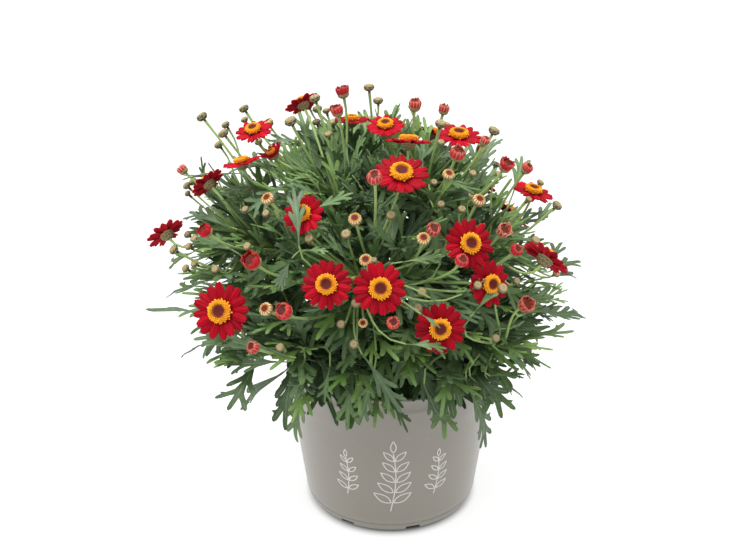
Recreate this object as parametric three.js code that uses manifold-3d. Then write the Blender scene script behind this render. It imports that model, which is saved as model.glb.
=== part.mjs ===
// Potted marguerite daisy: a plastic nursery pot, its soil, and a bushy plant in flower.
// Millimetres, +Z up. The pot's axis is Z and its foot stands on z = 0. The front is -Y.
import * as THREE from 'three';
import { mergeVertices } from 'three/addons/utils/BufferGeometryUtils.js';
import Module from 'manifold-3d';

// The pot
const POT_RIM_RADIUS = 95;
const POT_HEIGHT = 150;
const POT_BAND_FOOT = 117;       // height where the straight wall meets the near-vertical top band
const POT_CORNER_RADIUS = 80.5;  // radius where the wall meets the rounded bottom corner
const POT_CORNER_HEIGHT = 14;
const POT_FOOT_RADIUS = 71;
const POT_WALL = 1.8;
const POT_FLOOR = 4.5;
const POT_FACETS = 28;
// Slots under the corner: turn is the bearing of the first one
const DRAIN = { count: 8, turn: 15, width: 13, inner: 68, outer: 92, height: 5.5 };

// The soil
const SOIL_TOP = 137;
const SOIL_GAP = 0.5;
const SOIL_FACETS = 14;          // half as many as the pot has, so that their walls run alike
const SOIL_SEED = 78;
const STEM_SOCKET_DEPTH = 11;
const STEM_SOCKET_GAP = 4;
const SOCKET_TOOL_HALF = 20;     // half the length of the tool that cuts a stem's socket

// The plant's stems: rings of them round the crown, each with the place of its tip
const STEM_RADIUS = 2.3;
const STEM_SIDES = 4;
const STEM_BONES = 5;            // straight lengths that a stem is built of
const STEM_LEAN = -18;           // the whole bush leans this far to the left at stem-tip height
const CROWN_SHARE = 0.85;        // a head grows from the stem that is nearest to it at this share
const STEM_RINGS = [
  { count: 4, foot: 34, reach: 148, top: 200, bearing: -130, leaves: 6 },
  { count: 5, foot: 20, reach: 118, top: 272, bearing: -95, leaves: 4 },
  { count: 3, foot: 8, reach: 54, top: 322, bearing: -20, leaves: 3 },
];

// Open blooms: each disc's foot, where it faces (bearing and rise in degrees), and its diameter
const BLOOMS = [
  { at: [-127, -149, 259], faces: [-105, 28], across: 44 },
  { at: [-46, -168, 290], faces: [-95, 30], across: 37 },
  { at: [-8, -171, 288], faces: [-80, 28], across: 39 },
  { at: [8, -100, 350], faces: [-80, 64], across: 42 },
  { at: [58, -140, 310], faces: [-70, 32], across: 38 },
  { at: [73, -152, 283], faces: [-58, 20], across: 35 },
  { at: [36, -173, 257], faces: [-85, 18], across: 38 },
  { at: [-4, -30, 367], faces: [-100, 74], across: 31 },
  { at: [57, 0, 349], faces: [-70, 80], across: 39 },
  { at: [119, -20, 307], faces: [-20, 76], across: 35 },
  { at: [-112, -20, 360], faces: [-120, 70], across: 31 },
  { at: [-33, 20, 357], faces: [80, 84], across: 30 },
  { at: [-120, -42, 340], faces: [150, 72], across: 30 },
  { at: [-66, -110, 322], faces: [-110, 40], across: 32 },
  { at: [123, -90, 277], faces: [43, 37], across: 40 },
  { at: [-187, -40, 278], faces: [136, 36], across: 34 },
  { at: [14, -62, 364], faces: [80, 73], across: 35 },
  { at: [-74, 12, 374], faces: [127, 45], across: 30 },
  { at: [-151, -28, 318], faces: [142, 33], across: 31 },
  { at: [38, 42, 338], faces: [60, 60], across: 34 },
  { at: [112, 78, 250], faces: [30, 42], across: 40 },
  { at: [86, 130, 262], faces: [52, 40], across: 38 },
  { at: [28, 165, 262], faces: [80, 26], across: 42 },
  { at: [-62, 158, 280], faces: [108, 34], across: 39 },
  { at: [-135, 112, 258], faces: [138, 28], across: 41 },
  { at: [8, 112, 300], faces: [85, 50], across: 37 },
];
const TWO_COLOUR_BLOOMS = 20;    // the first ones have rays and disc as separate pieces
const PETALS = 10;
const DISC_FACETS = 8;
// A ray's corners: share of a petal's turn, share of the radius
const RAY_CORNERS = [[-0.5, 0.5], [-0.3, 0.96], [0.3, 0.96]];
const PETAL_THICKNESS = 0.9;
const PETAL_LIFT = 0.09;         // rise of the rays per millimetre out from the disc
const DISC_SHARE = 0.43;         // disc diameter over bloom diameter
const SEAT_GAP = 0.35;           // clearance between pieces that rest on each other

// Buds: half-open ones in colour, ones showing a straw ring, and closed green ones
const HALF_OPEN_BUDS = [
  [-40, 2, 389], [-43, -40, 385], [-12, -130, 360], [20, -20, 384], [44, -15, 379], [52, -75, 360],
  [77, -35, 358], [92, -62, 346], [111, -45, 338], [86, -119, 313], [32, -138, 322], [97, -118, 297],
  [52, -163, 308], [-103, -145, 299], [-144, -104, 307], [-180, 8, 319], [-104, -164, 237],
  [104, -134, 258], [2, -180, 266], [-30, 130, 325], [-99, -20, 343], [-79, -166, 268],
];
const STRAW_BUDS = [
  [-26, -142, 331], [-18, -160, 306], [-92, -118, 338], [-92, -163, 268], [24, -148, 318],
  [67, -108, 333], [44, -98, 350], [60, 145, 275],
];
const CLOSED_BUDS = [
  [-160, 14, 363], [-124, 14, 370], [-140, -4, 354], [-80, -40, 375], [-62, -12, 386],
  [-18, 4, 391], [86, -10, 358], [40, -44, 374], [136, -50, 307], [-172, -88, 284],
];
const PEDUNCLE_RADIUS = 1.25;
const STALK_SIDES = 4;
const BUD_RADIUS = 4.6;

// Leafy sprays: a twig with its leaves in one arched blade, the tips spread evenly over a dome
const SPRAYS = 9;
const SPRAY_DOME_CENTRE = [-14, 0, 205];
const SPRAY_DOME_RADII = [158, 148, 140];
const SPRAY_LOWEST = -0.2;       // sine of the lowest tip's rise from the dome's centre
const SPRAY_ROOTS = { first: 0.12, last: 0.92, count: 17 };  // shares of a stem where a spray may start
const SPRAY_SHORTEST = 75;
const SPRAY_TURN_COST = 50;      // millimetres that a spray may be longer, to leave its stem straight ahead
const SPRAY_SHORT_COST = 200;
const SPRAY_TURNS = [0, 12, -12, 24, -24, 36, -36];
const SPRAY_RISES = [0, 0.12, -0.12, 0.24];
const SPRAY_ARCH = -0.12;        // rise of the blade over its length, as a negative droop
const SPRAY_FOLD = 0.5;          // rise of its leaves to both sides
// Its leaves: [place on the twig, side, length], as shares of the twig's length
const SPRAY_LEAVES = [[0.34, 1, 0.42], [0.48, -1, 0.4], [0.6, 1, 0.36], [0.74, -1, 0.32]];
const SPRAY_LEAF_ANGLE = 48;
const SPRAY_TWIG_HALF = 0.012;   // half the twig's width over its length

// Leaves: pinnately lobed blades along every stem
const LEAF_LENGTH_LOW = 66;      // on the lowest part of a stem
const LEAF_LENGTH_HIGH = 54;     // at a stem's tip
const LEAF_THICKNESS = 0.8;
const LEAF_TEST_THICKNESS = 2.2; // a blade this thick has to clear the other pieces
const LEAF_FIRST = 0.3;          // share of the stem's length where the leaves begin
const LEAFY_PEDUNCLE = 100;      // a peduncle longer than this has a leaf, and a very long one has two
const VERY_LONG_PEDUNCLE = 150;
const LEAF_TURN = 137.5;         // degrees round the stem from one leaf to the next
const LEAF_ROOT_SHARE = 0.12;    // a leaf may touch its own stem's other growth this near its root
const LEAF_TURN_CHOICES = [0, 35, -35, 70, -70];
const LEAF_FOLD = 0.22;          // rise of a lobe to its tip, to both sides of the rib
const LEAF_SEED = 20731;

const COLOURS = {
  pot: 0x8f887b, soil: 0x2a211a, leaf: 0x5c7a4c, petal: 0xb5122a, disc: 0xd79a1e,
};

const UP = new THREE.Vector3(0, 0, 1);
const wasm = await Module();
wasm.setup();

const point = (x, y, z) => new THREE.Vector3(x, y, z);
const radians = THREE.MathUtils.degToRad;
const lerp = THREE.MathUtils.lerp;

function seededDraws(seed) {
  let state = seed >>> 0;
  return () => {
    state = (Math.imul(state, 1664525) + 1013904223) >>> 0;
    return state / 4294967296;
  };
}

// Solids from geometries and back

function solidOf(geometry, matrix) {
  const bare = geometry.clone();
  bare.deleteAttribute('normal');
  bare.deleteAttribute('uv');
  if (matrix) bare.applyMatrix4(matrix);
  const merged = mergeVertices(bare, 1e-4);
  return new wasm.Manifold(new wasm.Mesh({
    numProp: 3,
    vertProperties: new Float32Array(merged.attributes.position.array),
    triVerts: new Uint32Array(merged.index.array),
  }));
}

function geometryOf(solid) {
  const mesh = solid.getMesh();
  const geometry = new THREE.BufferGeometry();
  geometry.setAttribute('position', new THREE.BufferAttribute(mesh.vertProperties, 3));
  geometry.setIndex(new THREE.BufferAttribute(mesh.triVerts, 1));
  geometry.computeVertexNormals();
  return geometry;
}

// A closed solid through rings of points, one after the other; a ring of one point is an apex.
// The first ring may be a flat mouth, which is then closed by a fan from its own first point.
function loft(rings) {
  const positions = [];
  const starts = rings.map((ring) => {
    const start = positions.length / 3;
    ring.forEach((p) => positions.push(p.x, p.y, p.z));
    return start;
  });
  const faces = [];
  const count = Math.max(...rings.map((ring) => ring.length));
  const at = (i, k) => starts[i] + (rings[i].length === 1 ? 0 : k % count);
  if (rings[0].length > 1) {
    for (let k = 1; k + 1 < count; k += 1) faces.push(at(0, 0), at(0, k + 1), at(0, k));
  }
  for (let i = 0; i + 1 < rings.length; i += 1) {
    for (let k = 0; k < count; k += 1) {
      if (rings[i].length > 1) faces.push(at(i, k), at(i, k + 1), at(i + 1, k + 1));
      if (rings[i + 1].length > 1) faces.push(at(i, k), at(i + 1, k + 1), at(i + 1, k));
    }
  }
  const geometry = new THREE.BufferGeometry();
  geometry.setAttribute('position', new THREE.Float32BufferAttribute(positions, 3));
  geometry.setIndex(faces);
  geometry.computeVertexNormals();
  return geometry;
}

const evenAngles = (count) => Array.from({ length: count }, (_, k) => (2 * Math.PI * k) / count);

function ring(angles, radius, height, ripple = () => ({ radius: 1, rise: 0 })) {
  return angles.map((angle, k) => {
    const wave = ripple(k);
    const r = radius * wave.radius;
    return point(r * Math.cos(angle), r * Math.sin(angle), height + wave.rise);
  });
}

function tubeAlong(curve, radius, sides, steps) {
  const section = new THREE.Shape(Array.from({ length: sides }, (_, k) => {
    const angle = (2 * Math.PI * k) / sides;
    return new THREE.Vector2(radius * Math.cos(angle), radius * Math.sin(angle));
  }));
  return new THREE.ExtrudeGeometry(section, { steps, bevelEnabled: false, extrudePath: curve });
}

function fromBearing(bearing, reach, height) {
  return point(reach * Math.cos(radians(bearing)), reach * Math.sin(radians(bearing)), height);
}

function direction([bearing, rise]) {
  const flat = Math.cos(radians(rise));
  return point(flat * Math.cos(radians(bearing)), flat * Math.sin(radians(bearing)), Math.sin(radians(rise)));
}

// The pot and its soil

function potWallRadius(height) {
  const share = (height - POT_CORNER_HEIGHT) / (POT_BAND_FOOT - POT_CORNER_HEIGHT);
  const bandRadius = POT_RIM_RADIUS - 1.5;
  return share < 1 ? lerp(POT_CORNER_RADIUS, bandRadius, share)
    : lerp(bandRadius, POT_RIM_RADIUS, (height - POT_BAND_FOOT) / (POT_HEIGHT - POT_BAND_FOOT));
}

function potBody() {
  const profile = [
    [0, 0], [POT_FOOT_RADIUS, 0], [POT_CORNER_RADIUS - 2.5, 4.5], [POT_CORNER_RADIUS, POT_CORNER_HEIGHT],
    [potWallRadius(POT_BAND_FOOT), POT_BAND_FOOT], [POT_RIM_RADIUS, POT_HEIGHT],
    [POT_RIM_RADIUS - POT_WALL, POT_HEIGHT],
    [potWallRadius(POT_BAND_FOOT) - POT_WALL, POT_BAND_FOOT],
    [POT_CORNER_RADIUS - POT_WALL, POT_CORNER_HEIGHT], [POT_CORNER_RADIUS - 6, POT_FLOOR], [0, POT_FLOOR],
  ].map(([r, z]) => new THREE.Vector2(r, z));
  const lathed = new THREE.LatheGeometry(profile, POT_FACETS).rotateX(Math.PI / 2);
  let body = solidOf(lathed);
  for (let k = 0; k < DRAIN.count; k += 1) {
    const turn = new THREE.Matrix4().makeRotationZ(radians(DRAIN.turn + (360 * k) / DRAIN.count));
    const slot = new THREE.BoxGeometry(DRAIN.outer - DRAIN.inner, DRAIN.width, 2 * DRAIN.height);
    slot.translate((DRAIN.outer + DRAIN.inner) / 2, 0, 0);
    body = body.subtract(solidOf(slot, turn));
  }
  return body;
}

function soilBody(stems) {
  const draw = seededDraws(SOIL_SEED);
  const crumb = () => ({ radius: 1, rise: 5 * draw() - 3 });
  const inside = (height) => potWallRadius(height) - POT_WALL - SOIL_GAP;
  const angles = evenAngles(SOIL_FACETS);
  const heap = loft([
    [point(0, 0, POT_FLOOR + SOIL_GAP)],
    ring(angles, POT_CORNER_RADIUS - 6.8, POT_FLOOR + SOIL_GAP),
    ring(angles, inside(POT_CORNER_HEIGHT), POT_CORNER_HEIGHT),
    ring(angles, inside(POT_BAND_FOOT), POT_BAND_FOOT),
    ring(angles, inside(SOIL_TOP), SOIL_TOP - 2),
    ring(angles, 0.72 * POT_RIM_RADIUS, SOIL_TOP, crumb),
    ring(angles, 0.45 * POT_RIM_RADIUS, SOIL_TOP + 1, crumb),
    [point(0, 0, SOIL_TOP + 2)],
  ]);
  const socketRadius = STEM_RADIUS + STEM_SOCKET_GAP;
  const sockets = stems.map((stem) => {
    const hole = new THREE.CylinderGeometry(socketRadius, socketRadius, 2 * SOCKET_TOOL_HALF, 5);
    hole.rotateX(Math.PI / 2);
    return solidOf(hole.translate(stem.foot.x, stem.foot.y, SOIL_TOP - STEM_SOCKET_DEPTH + SOCKET_TOOL_HALF));
  });
  return sockets.reduce((soil, socket) => soil.subtract(socket), solidOf(heap));
}

// The layout of the plant

function layStems() {
  return STEM_RINGS.flatMap((tier) => Array.from({ length: tier.count }, (_, k) => {
    const bearing = tier.bearing + (360 * k) / tier.count;
    const foot = fromBearing(bearing, tier.foot, SOIL_TOP - STEM_SOCKET_DEPTH + 1);
    const tip = fromBearing(bearing, tier.reach, tier.top);
    tip.x += STEM_LEAN;
    const shoulder = fromBearing(bearing, lerp(tier.foot, tier.reach, 0.22), lerp(SOIL_TOP, tier.top, 0.75));
    const rise = point(foot.x, foot.y, SOIL_TOP + 30);
    return { foot, tip, leaves: tier.leaves, curve: new THREE.CubicBezierCurve3(foot, rise, shoulder, tip) };
  }));
}

function layHeads(stems) {
  const outward = (at) => point(at[0], at[1], 0.55 * (at[2] - SOIL_TOP)).normalize()
    .add(point(0, 0, 0.45)).normalize();
  const bud = (kind) => (at) => ({ kind, at: point(...at), faces: outward(at) });
  const heads = [
    ...BLOOMS.map((bloom) => ({
      ...bloom, kind: 'bloom', at: point(...bloom.at), faces: direction(bloom.faces),
    })),
    ...HALF_OPEN_BUDS.map(bud('half_open')),
    ...STRAW_BUDS.map(bud('straw')),
    ...CLOSED_BUDS.map(bud('closed')),
  ];
  heads.forEach((head) => {
    const distance = (stem) => stem.curve.getPoint(CROWN_SHARE).distanceTo(head.at);
    head.stem = stems.reduce((best, stem) => (distance(stem) < distance(best) ? stem : best));
    head.order = heads.filter((other) => other.stem === head.stem).length - 1;
  });
  heads.forEach((head) => {
    head.companions = heads.filter((other) => other.stem === head.stem).length;
    head.curve = peduncleCurve(head);
    head.reach = head.curve.getLength();
    head.bones = head.reach > LEAFY_PEDUNCLE ? [0, 0.3, 0.6, 1] : [0, 0.5, 1];
  });
  return heads;
}

// A peduncle leaves its stem at a slant and comes up behind its head.
function peduncleCurve(head) {
  const share = 0.96 - (0.5 * head.order) / head.companions;
  const root = head.stem.curve.getPoint(share);
  const seat = head.at.clone().addScaledVector(head.faces, -headDepth(head));
  const length = root.distanceTo(seat);
  const leaving = head.stem.curve.getTangent(share).multiplyScalar(0.6)
    .add(seat.clone().sub(root).normalize()).normalize();
  return new THREE.CubicBezierCurve3(
    root, root.clone().addScaledVector(leaving, 0.3 * length),
    seat.clone().addScaledVector(head.faces, -0.35 * length), seat);
}

// A spray has its tip on the dome, and grows from the stem and the place on it that suit it best.
function laySprays(stems) {
  const { first, last, count } = SPRAY_ROOTS;
  return Array.from({ length: SPRAYS }, (_, k) => {
    const rise = lerp(SPRAY_LOWEST, 1, (k + 0.5) / SPRAYS);
    const tip = fromBearing(LEAF_TURN * k, Math.sqrt(1 - rise * rise), rise)
      .multiply(point(...SPRAY_DOME_RADII)).add(point(...SPRAY_DOME_CENTRE));
    const roots = stems.flatMap((stem) => Array.from({ length: count }, (__, i) => {
      const share = lerp(first, last, i / (count - 1));
      const root = stem.curve.getPoint(share);
      const out = tip.clone().sub(root).normalize();
      const length = tip.distanceTo(root);
      const turned = 1 - out.dot(stem.curve.getTangent(share));
      const short = length < SPRAY_SHORTEST ? SPRAY_SHORT_COST : 0;
      return { stem, root, out, length, cost: length + SPRAY_TURN_COST * turned + short };
    }));
    const { stem, root, out, length } = roots.reduce((best, each) => (each.cost < best.cost ? each : best));
    const outs = SPRAY_RISES.flatMap((lift) => SPRAY_TURNS.map((turn) => (
      out.clone().applyAxisAngle(UP, radians(turn)).addScaledVector(UP, lift).normalize())));
    return { stem, root, outs, length, droop: SPRAY_ARCH, fold: SPRAY_FOLD, spray: true };
  });
}

// A place on the straight bones that a stem or peduncle is built along
function placeOnBones(bones, share) {
  const bone = Math.min(Math.floor(share * (bones.length - 1)), bones.length - 2);
  const along = bones[bone + 1].clone().sub(bones[bone]);
  const at = bones[bone].clone().addScaledVector(along, share * (bones.length - 1) - bone);
  return { at, tangent: along.normalize() };
}

// What leaves grow from: the stems, and the lower part of each long peduncle
function layShoots(stems, heads) {
  const evenly = (count) => Array.from({ length: count }, (_, k) => lerp(LEAF_FIRST, 1, (k + 0.5) / count));
  return [
    ...stems.map((stem) => ({
      stem, bones: stem.curve.getSpacedPoints(STEM_BONES), shares: evenly(stem.leaves),
    })),
    ...heads.filter((head) => head.reach > LEAFY_PEDUNCLE).map((head) => ({
      stem: head.stem, bones: head.bones.map((share) => head.curve.getPoint(share)),
      shares: head.reach > VERY_LONG_PEDUNCLE ? [0.38, 0.72] : [0.38],
    })),
  ];
}

// Every leaf has a place on its shoot and a few directions that it may take, the best one first.
function layLeaves(shoots) {
  const draw = seededDraws(LEAF_SEED);
  const slots = shoots.flatMap(({ stem, bones, shares }, s) => shares.map((share, k) => {
    const along = (k + 0.5) / shares.length;
    const { at, tangent } = placeOnBones(bones, share);
    const across = point(0, 0, 1).cross(tangent).normalize();
    const above = tangent.clone().cross(across);
    const spread = radians(lerp(72, 42, along) + 16 * (draw() - 0.5));
    const outs = LEAF_TURN_CHOICES.map((choice) => {
      const turn = radians(LEAF_TURN * k + 50 * s + choice);
      return tangent.clone().multiplyScalar(Math.cos(spread))
        .addScaledVector(across, Math.sin(spread) * Math.cos(turn))
        .addScaledVector(above, Math.sin(spread) * Math.sin(turn));
    });
    return {
      stem, round: k, root: at, outs,
      length: lerp(LEAF_LENGTH_LOW, LEAF_LENGTH_HIGH, along) * (0.88 + 0.24 * draw()),
      droop: lerp(0.42, 0.16, along) + 0.12 * (draw() - 0.5),
      pairs: shares.length > 4 && along < 0.4 ? 3 : 2,
    };
  }));
  return slots.sort((a, b) => a.round - b.round);
}

// Blooms, buds and leaves in their own frames: +Z out of the head or up from the blade

const rayAngle = (k, share) => (2 * Math.PI * (k + share)) / PETALS;

// The outline of the rays: three corners for each, with a notch towards the next
function raysEdge(across, height) {
  const radius = across / 2;
  return Array.from({ length: PETALS }, (_, k) => RAY_CORNERS.map(([share, reach], corner) => {
    const angle = rayAngle(k, share);
    const long = reach * radius * (1 + 0.04 * Math.cos(2.3 * k));
    const layer = corner === 0 ? 0 : (k % 2 ? 0.04 : -0.03) * radius;
    return point(long * Math.cos(angle), long * Math.sin(angle), PETAL_LIFT * long + layer + height);
  })).flat();
}

function raysSolid(across) {
  const half = PETAL_THICKNESS / 2;
  return loft([[point(0, 0, -half)], raysEdge(across, -half), raysEdge(across, half), [point(0, 0, half)]]);
}

// A dome of florets: every second one stands out, and the middle is sunk.
function discSolid(across) {
  const radius = (DISC_SHARE * across) / 2;
  const base = PETAL_THICKNESS / 2 + SEAT_GAP;
  const foot = base + (PETAL_LIFT + 0.05) * radius;
  const angles = evenAngles(DISC_FACETS);
  const floret = (k) => ({ radius: k % 2 ? 1.05 : 0.93, rise: k % 2 ? 0.08 * radius : 0 });
  return loft([
    [point(0, 0, base)],
    ring(angles, 0.98 * radius, foot),
    ring(angles, 0.72 * radius, foot + 0.46 * radius, floret),
    [point(0, 0, foot + 0.26 * radius)],
  ]);
}

// Rays and disc in one piece. The disc is a cone whose corners stand in line with the rays' own, so that no
// faces cross.
function wholeBloomSolid(across) {
  const half = PETAL_THICKNESS / 2;
  const corners = (k) => RAY_CORNERS.map(([share]) => rayAngle(k, share));
  const angles = Array.from({ length: PETALS }, (_, k) => corners(k)).flat();
  const radius = (DISC_SHARE * across) / 2;
  const foot = half + PETAL_LIFT * radius;
  const edges = [raysEdge(across, -half), raysEdge(across, half)];
  const cone = [ring(angles, 0.98 * radius, foot), [point(0, 0, foot + 0.5 * radius)]];
  return loft([[point(0, 0, -half)], ...edges, ...cone]);
}

// The rings of a bud, in bud radii: [height from the head's place, radius, ripple of the ring's edge]
const BUD_RINGS = {
  closed: [[-1.2, 0], [-0.2, 1], [0.45, 0.72], [0.6, 0]],
  straw: [[-1.2, 0], [-0.2, 1], [0.6, 1.1, 0.12], [0.1, 0]],
  half_open: [[-1.7, 0], [-0.7, 1], [1.1, 1.3, 0.15], [0.1, 0]],
};
const CUP_SHARE = 0.17;          // radius and depth of the green cup over its bloom's diameter

// What a peduncle ends in, starting at the peduncle's own radius
function headRings({ kind, across }) {
  if (kind === 'bloom') {
    const mouth = -(PETAL_THICKNESS / 2 + SEAT_GAP);
    const cup = CUP_SHARE * across;
    return [[mouth - cup, PEDUNCLE_RADIUS], [mouth, cup], [mouth, 0]];
  }
  return BUD_RINGS[kind].map(([height, radius, ripple], k) => [
    height * BUD_RADIUS, k === 0 ? PEDUNCLE_RADIUS : radius * BUD_RADIUS, ripple,
  ]);
}

const headDepth = (head) => -headRings(head)[0][0];

// A peduncle with its bud, or with the green cup whose mouth is just clear of the rays
function stalkSolid(head) {
  const { curve } = head;
  const bend = curve.getTangent(0).cross(head.faces).normalize();
  const stations = head.bones.slice(0, -1).map((share) => ({
    centre: curve.getPoint(share), along: curve.getTangent(share), radius: PEDUNCLE_RADIUS, ripple: 0,
  }));
  headRings(head).forEach(([height, radius, ripple = 0]) => {
    const centre = head.at.clone().addScaledVector(head.faces, height);
    stations.push({ centre, along: head.faces, radius, ripple });
  });
  return loft(stations.map(({ centre, along, radius, ripple }) => {
    if (radius === 0) return [centre];
    const second = along.clone().cross(bend).normalize();
    const first = second.clone().cross(along);
    return Array.from({ length: STALK_SIDES }, (_, k) => {
      const angle = (2 * Math.PI * k) / STALK_SIDES;
      const out = radius * (1 + (k % 2 ? ripple : -ripple));
      return centre.clone().addScaledVector(first, out * Math.cos(angle))
        .addScaledVector(second, out * Math.sin(angle));
    });
  }));
}

// One side of a leaf's outline: lobes that point forward, each ending at a notch near the rib
function leafOutline(length, pairs, from) {
  const reach = pairs === 3 ? [0.21, 0.25, 0.19] : [0.22, 0.22];
  const first = pairs === 3 ? 0.36 : 0.45;
  const pitch = (0.86 - first) / pairs;
  const side = [[first - 0.02, 0.035]];
  reach.forEach((out, k) => {
    const rib = first + pitch * k;
    side.push([rib + 0.12, out], [rib + 0.13, 0.05]);
  });
  const mirrored = side.map(([x, y]) => [x, -y]).reverse();
  return [[from, 0], ...side, [1, 0], ...mirrored].map(([x, y]) => new THREE.Vector2(x * length, y * length));
}

// A twig's outline, with a leaf slanting forward from it at every place: heel, shoulder, tip and brow
function sprayOutline(length, from) {
  const half = SPRAY_TWIG_HALF;
  const ahead = new THREE.Vector2(1, 0).rotateAround(new THREE.Vector2(), radians(SPRAY_LEAF_ANGLE));
  const out = new THREE.Vector2(-ahead.y, ahead.x);
  const leafPoints = ([place, , long]) => {
    const spot = (along, off) => new THREE.Vector2(place, half)
      .addScaledVector(ahead, along * long).addScaledVector(out, off * long);
    return [new THREE.Vector2(place, half), spot(0.6, 0.2), spot(1, 0), spot(0.55, -0.16),
      new THREE.Vector2(place + 0.05, half)];
  };
  const side = (sign) => SPRAY_LEAVES.filter((leaf) => leaf[1] === sign).flatMap(leafPoints);
  const crown = new THREE.Vector2(0.86, 0.07);
  const mirrored = [...side(-1), crown].map(({ x, y }) => new THREE.Vector2(x, -y)).reverse();
  return [new THREE.Vector2(from, 0), ...side(1), crown, new THREE.Vector2(1, 0), ...mirrored]
    .map((corner) => corner.multiplyScalar(length));
}

function leafSolid(leaf, thickness, from = -0.02) {
  const { length, droop, pairs, spray, fold = LEAF_FOLD } = leaf;
  const shape = new THREE.Shape(spray ? sprayOutline(length, from) : leafOutline(length, pairs, from));
  const blade = new THREE.ExtrudeGeometry(shape, { depth: thickness, bevelEnabled: false });
  blade.translate(0, 0, -thickness / 2);
  const positions = blade.attributes.position;
  for (let i = 0; i < positions.count; i += 1) {
    const x = Math.max(0, positions.getX(i));
    const lobe = Math.abs(positions.getY(i));
    positions.setZ(i, positions.getZ(i) - (droop * x * x) / length + fold * lobe);
  }
  return blade;
}

// Placing

function frameAlong(origin, forward, upwards) {
  const across = upwards.clone().cross(forward).normalize();
  const above = forward.clone().cross(across);
  return new THREE.Matrix4().makeBasis(forward, across, above).setPosition(origin);
}

function headMatrix(head) {
  const reference = Math.abs(head.faces.z) > 0.98 ? point(0, 1, 0) : UP;
  const across = reference.clone().cross(head.faces).normalize();
  const above = head.faces.clone().cross(across);
  return new THREE.Matrix4().makeBasis(across, above, head.faces).setPosition(head.at);
}

const leafMatrix = (leaf, out) => frameAlong(leaf.root, out, UP);

const boxesMeet = (a, b) => [0, 1, 2].every((i) => a.min[i] < b.max[i] && b.min[i] < a.max[i]);

function clears(solid, others) {
  const box = solid.boundingBox();
  return others.every((other) => !boxesMeet(box, other.box) || solid.intersect(other.solid).isEmpty());
}

function boxed(solid) {
  return { solid, box: solid.boundingBox() };
}

// Assembly

const plant = new THREE.Group();

function addPiece(name, geometry, colour, matrix) {
  const material = new THREE.MeshStandardMaterial({ color: colour, roughness: 0.7, metalness: 0 });
  const mesh = new THREE.Mesh(geometry, material);
  mesh.name = name;
  if (matrix) matrix.decompose(mesh.position, mesh.quaternion, mesh.scale);
  plant.add(mesh);
}

const numbered = (stem, k) => `${stem}_${String(k + 1).padStart(2, '0')}`;
const stems = layStems();
const heads = layHeads(stems);

const pot = potBody();
const soil = soilBody(stems);
addPiece('pot', geometryOf(pot), COLOURS.pot);
addPiece('soil', geometryOf(soil), COLOURS.soil);
const placed = [boxed(pot), boxed(soil)];

heads.filter((head) => head.kind === 'bloom').forEach((bloom, k) => {
  const matrix = headMatrix(bloom);
  const rays = raysSolid(bloom.across);
  const disc = discSolid(bloom.across);
  if (k < TWO_COLOUR_BLOOMS) {
    addPiece(`${numbered('bloom', k)}_rays`, rays, COLOURS.petal, matrix);
    addPiece(`${numbered('bloom', k)}_disc`, disc, COLOURS.disc, matrix);
  } else {
    addPiece(numbered('bloom', k), wholeBloomSolid(bloom.across), COLOURS.petal, matrix);
  }
  placed.push(boxed(solidOf(rays, matrix).add(solidOf(disc, matrix))));
});

// Each stem with its peduncles, cups and buds, before its leaves
stems.forEach((stem) => {
  const stalks = heads.filter((head) => head.stem === stem).map((head) => solidOf(stalkSolid(head)));
  stem.parts = [solidOf(tubeAlong(stem.curve, STEM_RADIUS, STEM_SIDES, STEM_BONES)), ...stalks];
  placed.push({ ...boxed(stem.parts[0]), trunkOf: stem });
  stalks.forEach((solid) => placed.push({ ...boxed(solid), stem }));
});

// A leaf takes the first of its directions in which it crosses nothing but the stem it grows from.
function leafIsClear(leaf, matrix) {
  const fromOthers = placed.filter((other) => other.stem !== leaf.stem && other.trunkOf !== leaf.stem);
  const fromOwn = placed.filter((other) => other.stem === leaf.stem);
  return clears(solidOf(leafSolid(leaf, LEAF_TEST_THICKNESS), matrix), fromOthers)
    && clears(solidOf(leafSolid(leaf, LEAF_THICKNESS, LEAF_ROOT_SHARE), matrix), fromOwn);
}

[...laySprays(stems), ...layLeaves(layShoots(stems, heads))].forEach((leaf) => {
  const matrix = leaf.outs.map((out) => leafMatrix(leaf, out)).find((each) => leafIsClear(leaf, each));
  if (!matrix) return;
  const blade = solidOf(leafSolid(leaf, LEAF_THICKNESS), matrix);
  leaf.stem.parts.push(blade);
  placed.push({ ...boxed(blade), stem: leaf.stem });
});

stems.forEach((stem, k) => {
  addPiece(numbered('leafy_stem', k), geometryOf(wasm.Manifold.union(stem.parts)), COLOURS.leaf);
});

export default plant;
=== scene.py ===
import math
from types import SimpleNamespace

import bmesh
import bpy
import numpy as np
from mathutils import Matrix, Vector
from mathutils.bvhtree import BVHTree
from mathutils.geometry import delaunay_2d_cdt


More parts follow.
